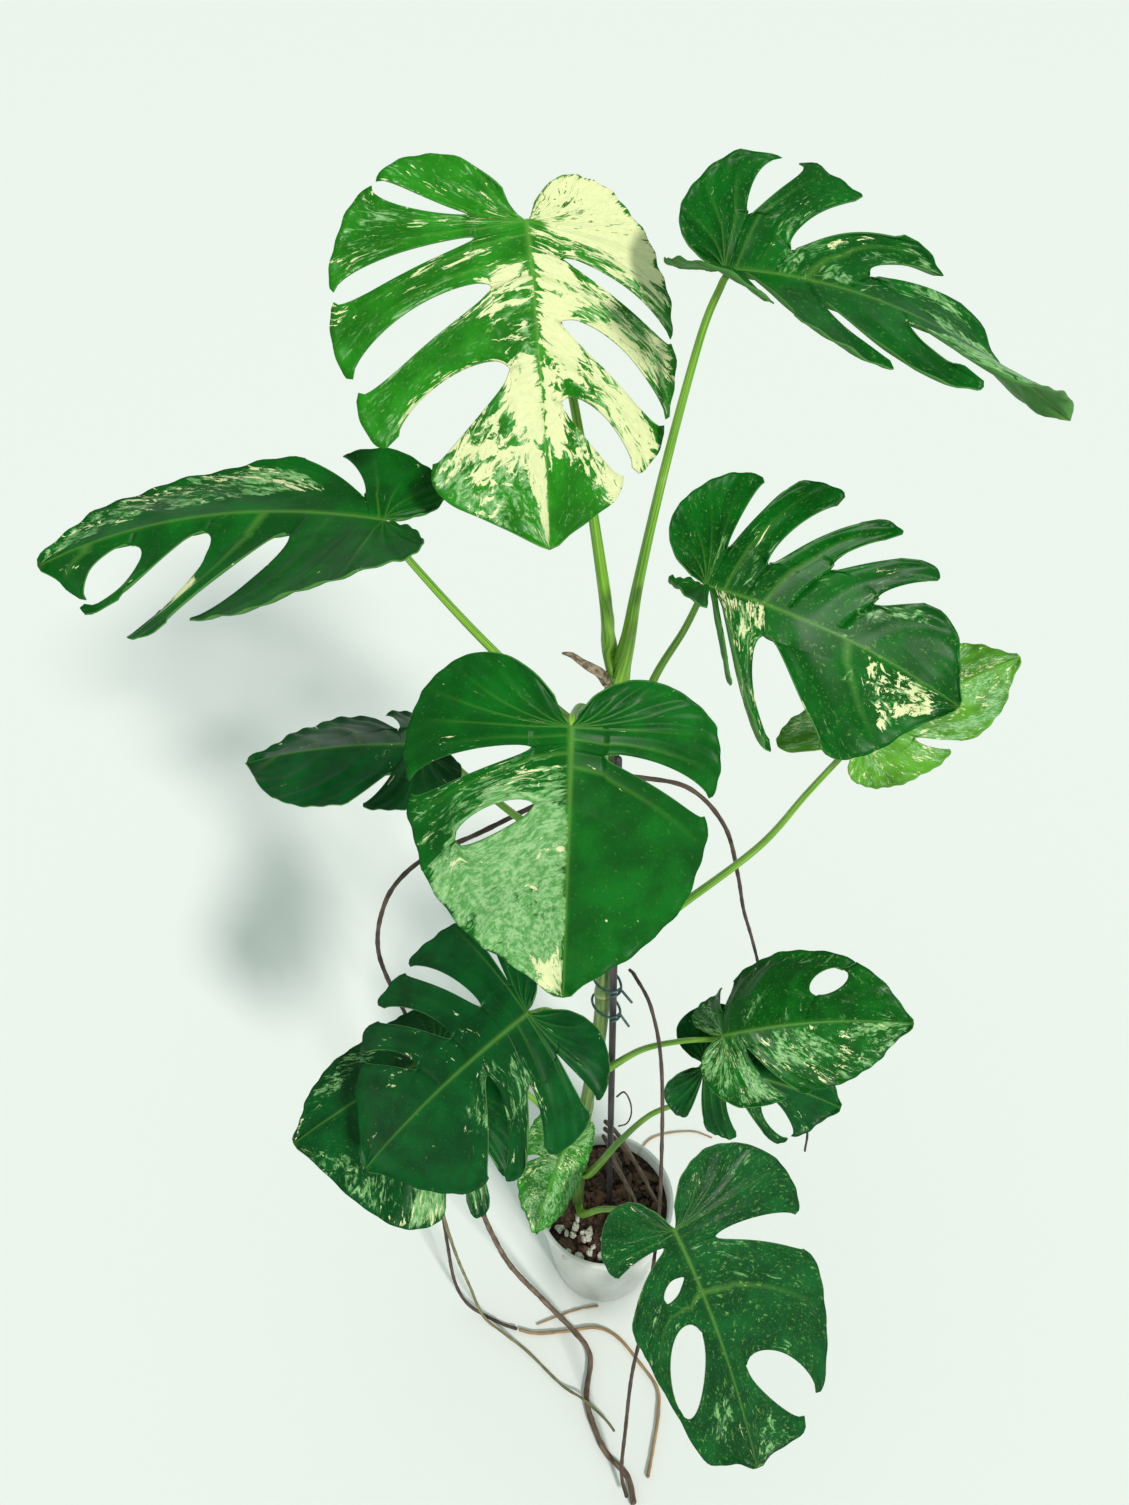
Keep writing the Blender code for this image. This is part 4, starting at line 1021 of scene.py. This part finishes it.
# %% Substrate
soil_skin = Skin("substrate_dark", Roughness=.95)
crumbs = soil_skin.noise(soil_skin.place(), 150, 6.0, .7)
soil_skin.set(Base_Color=soil_skin.mix(crumbs.step(.35, .65), (0.010, 0.005, 0.004), (0.065, 0.032, 0.020)))
soil_skin.bump(crumbs, .8, .003)
SOIL_GAP = .0009  # between the plug and the pot's wall
AROUND_SOIL = 120
FLOOR_OF_POT = POT_WALL + .0005


def soil_radius(z):
    return pot_radius(z) - POT_WALL - SOIL_GAP


# The plug is one grid: rings from the middle of its lumpy top to the wall, then down, then shut below.
outwards = np.linspace(0, 1, 40)[:, None]
angle = np.linspace(0, 2 * np.pi, AROUND_SOIL, endpoint=False)
xs, ys = [soil_radius(SOIL_TOP) * outwards * turn for turn in (np.cos(angle), np.sin(angle))]
lump = np.sin(xs * 310 + 2) * np.sin(ys * 270) + .6 * np.sin(xs * 620 + ys * 510)
lump = lump + .5 * np.sin(ys * 900 - xs * 240)
zs = SOIL_TOP - .004 + .0022 * lump * np.clip((1 - outwards) * 12, 0, 1)
top = np.stack([xs, ys, zs], -1)
down = np.linspace(SOIL_TOP - .006, FLOOR_OF_POT, 12)[:, None]
round_wall = [soil_radius(down) * turn for turn in (np.cos(angle), np.sin(angle))]
wall = np.stack(round_wall + [down + 0 * angle], -1)
low = np.zeros((1, AROUND_SOIL, 3)) + np.array([0, 0, FLOOR_OF_POT])
plug = np.concatenate([top, wall, low])
plug_faces = grid_faces(len(plug), AROUND_SOIL, closed=True)
make_piece("substrate_plug", plug.reshape(-1, 3), plug_faces, [soil_skin], ["substrate"])


def turned_by(angle, a, b):
    """The coordinates a and b of each stone, turned in their plane by its angle."""
    c, s = np.cos(angle)[:, None, None], np.sin(angle)[:, None, None]
    return a * c - b * s, a * s + b * c


def scatter(name, count, size, flat, skin, seed, where):
    """Many small rough stones as one piece. Each is a ball of six rings of seven points with its
    radius shaken, pressed flat, turned and laid where the random draw falls."""
    rng = np.random.default_rng(seed)
    v = np.linspace(0, np.pi, 6)[:, None]
    u = np.linspace(0, 2 * np.pi, 7, endpoint=False)[None, :]
    ball = np.stack([np.sin(v) * np.cos(u), np.sin(v) * np.sin(u), np.cos(v) + 0 * u], -1)
    shake = 1 + rng.uniform(-.28, .28, (count, 6, 7, 1))
    shake[:, [0, -1]] = 1
    size = rng.uniform(*size, (count, 1, 1, 1))
    press = np.stack([np.ones(count), rng.uniform(.5, .9, count), rng.uniform(*flat, count)], -1)
    stone = ball[None] * shake * size * press[:, None, None]
    spin, tilt = rng.uniform(0, 2 * np.pi, count), rng.normal(0, .45, count)
    x, y, z = np.moveaxis(stone, -1, 0)
    y, z = turned_by(tilt, y, z)
    x, y = turned_by(spin, x, y)
    centre = where(rng, count)
    points = np.stack([x, y, z], -1) + centre[:, None, None]
    faces = np.concatenate([grid_faces(6, 7, k * 42, closed=True) for k in range(count)])
    shade = np.repeat(rng.uniform(0, 1, (count, 3)), 42, axis=0)
    piece = make_piece(name, points.reshape(-1, 3), faces, [skin], [], layers={"shade": shade})
    piece.data.polygons.foreach_set("use_smooth", np.zeros(len(piece.data.polygons), bool))
    return piece


bark_skin = Skin("bark_chips", Roughness=.9)
tone, _, _ = bark_skin.layer("shade")
fibre = bark_skin.noise(bark_skin.place(), 260, 5.0, .65)
colour = bark_skin.mix(tone, (0.014, 0.006, 0.004), (0.15, 0.068, 0.038))
bark_skin.set(Base_Color=bark_skin.mix(fibre.step(.45, .75) * .6, colour, (0.22, 0.15, 0.10)))
bark_skin.bump(fibre, .7, .002)
pumice_skin = Skin("pumice", Roughness=.9)
pores = pumice_skin.noise(pumice_skin.place(), 600, 3.0)
pumice_skin.set(Base_Color=pumice_skin.mix(pores.step(.4, .7), (0.42, 0.41, 0.33), (0.80, 0.79, 0.70)))
pumice_skin.bump(pores, .8, .001)


def over_soil(rng, count):
    """Even over the disc, clear of the wall."""
    r = (soil_radius(SOIL_TOP) - .007) * np.sqrt(rng.uniform(0, 1, count))
    a = rng.uniform(0, 2 * np.pi, count)
    return np.stack([r * np.cos(a), r * np.sin(a), SOIL_TOP - .003 + rng.uniform(-.003, .004, count)], -1)


def front_left(rng, count):
    """Bunched at the front left, where the pumice shows."""
    spot = rng.normal((-.020, -.045), (.020, .014), (count, 2))
    return np.column_stack([spot, SOIL_TOP + rng.uniform(-.001, .004, count)])


scatter("bark_chips", 420, (.0035, .0085), (.3, .7), bark_skin, 5, over_soil)
scatter("pumice_grains", 26, (.0036, .0070), (.6, .9), pumice_skin, 8, front_left)
print("substrate made")

# %% [markdown]
# ## Floor and light
# The plant stands on a plain pale sheet under broad soft light from the front right, so every leaf
# is lit and the shadows are faint.

# %% Floor and light
floor_skin = Skin("floor_pale", Base_Color=(0.85, 0.87, 0.84), Roughness=.8)
floor = bpy.data.objects.new("floor", bpy.data.meshes.new("floor"))
floor.data.from_pydata([(-20, -20, 0), (20, -20, 0), (20, 20, 0), (-20, 20, 0)], [], [(0, 1, 2, 3)])
floor.data.materials.append(floor_skin.material)
floor.location.z = -.0004
bpy.context.scene.collection.objects.link(floor)

world = bpy.data.worlds.new("room")
bpy.context.scene.world = world
world.use_nodes = True
sky = world.node_tree.nodes["Background"].inputs
sky["Color"].default_value = (0.82, 0.97, 0.91, 1)
sky["Strength"].default_value = 0.60
sun = bpy.data.objects.new("sun", bpy.data.lights.new("sun", "SUN"))
sun.data.energy = 2.6
sun.data.angle = radians(7)
sun.data.color = (1.0, 0.96, 0.94)
sun.rotation_euler = (radians(52), 0, radians(29))
bpy.context.scene.collection.objects.link(sun)
bpy.context.scene.view_settings.view_transform = "Standard"
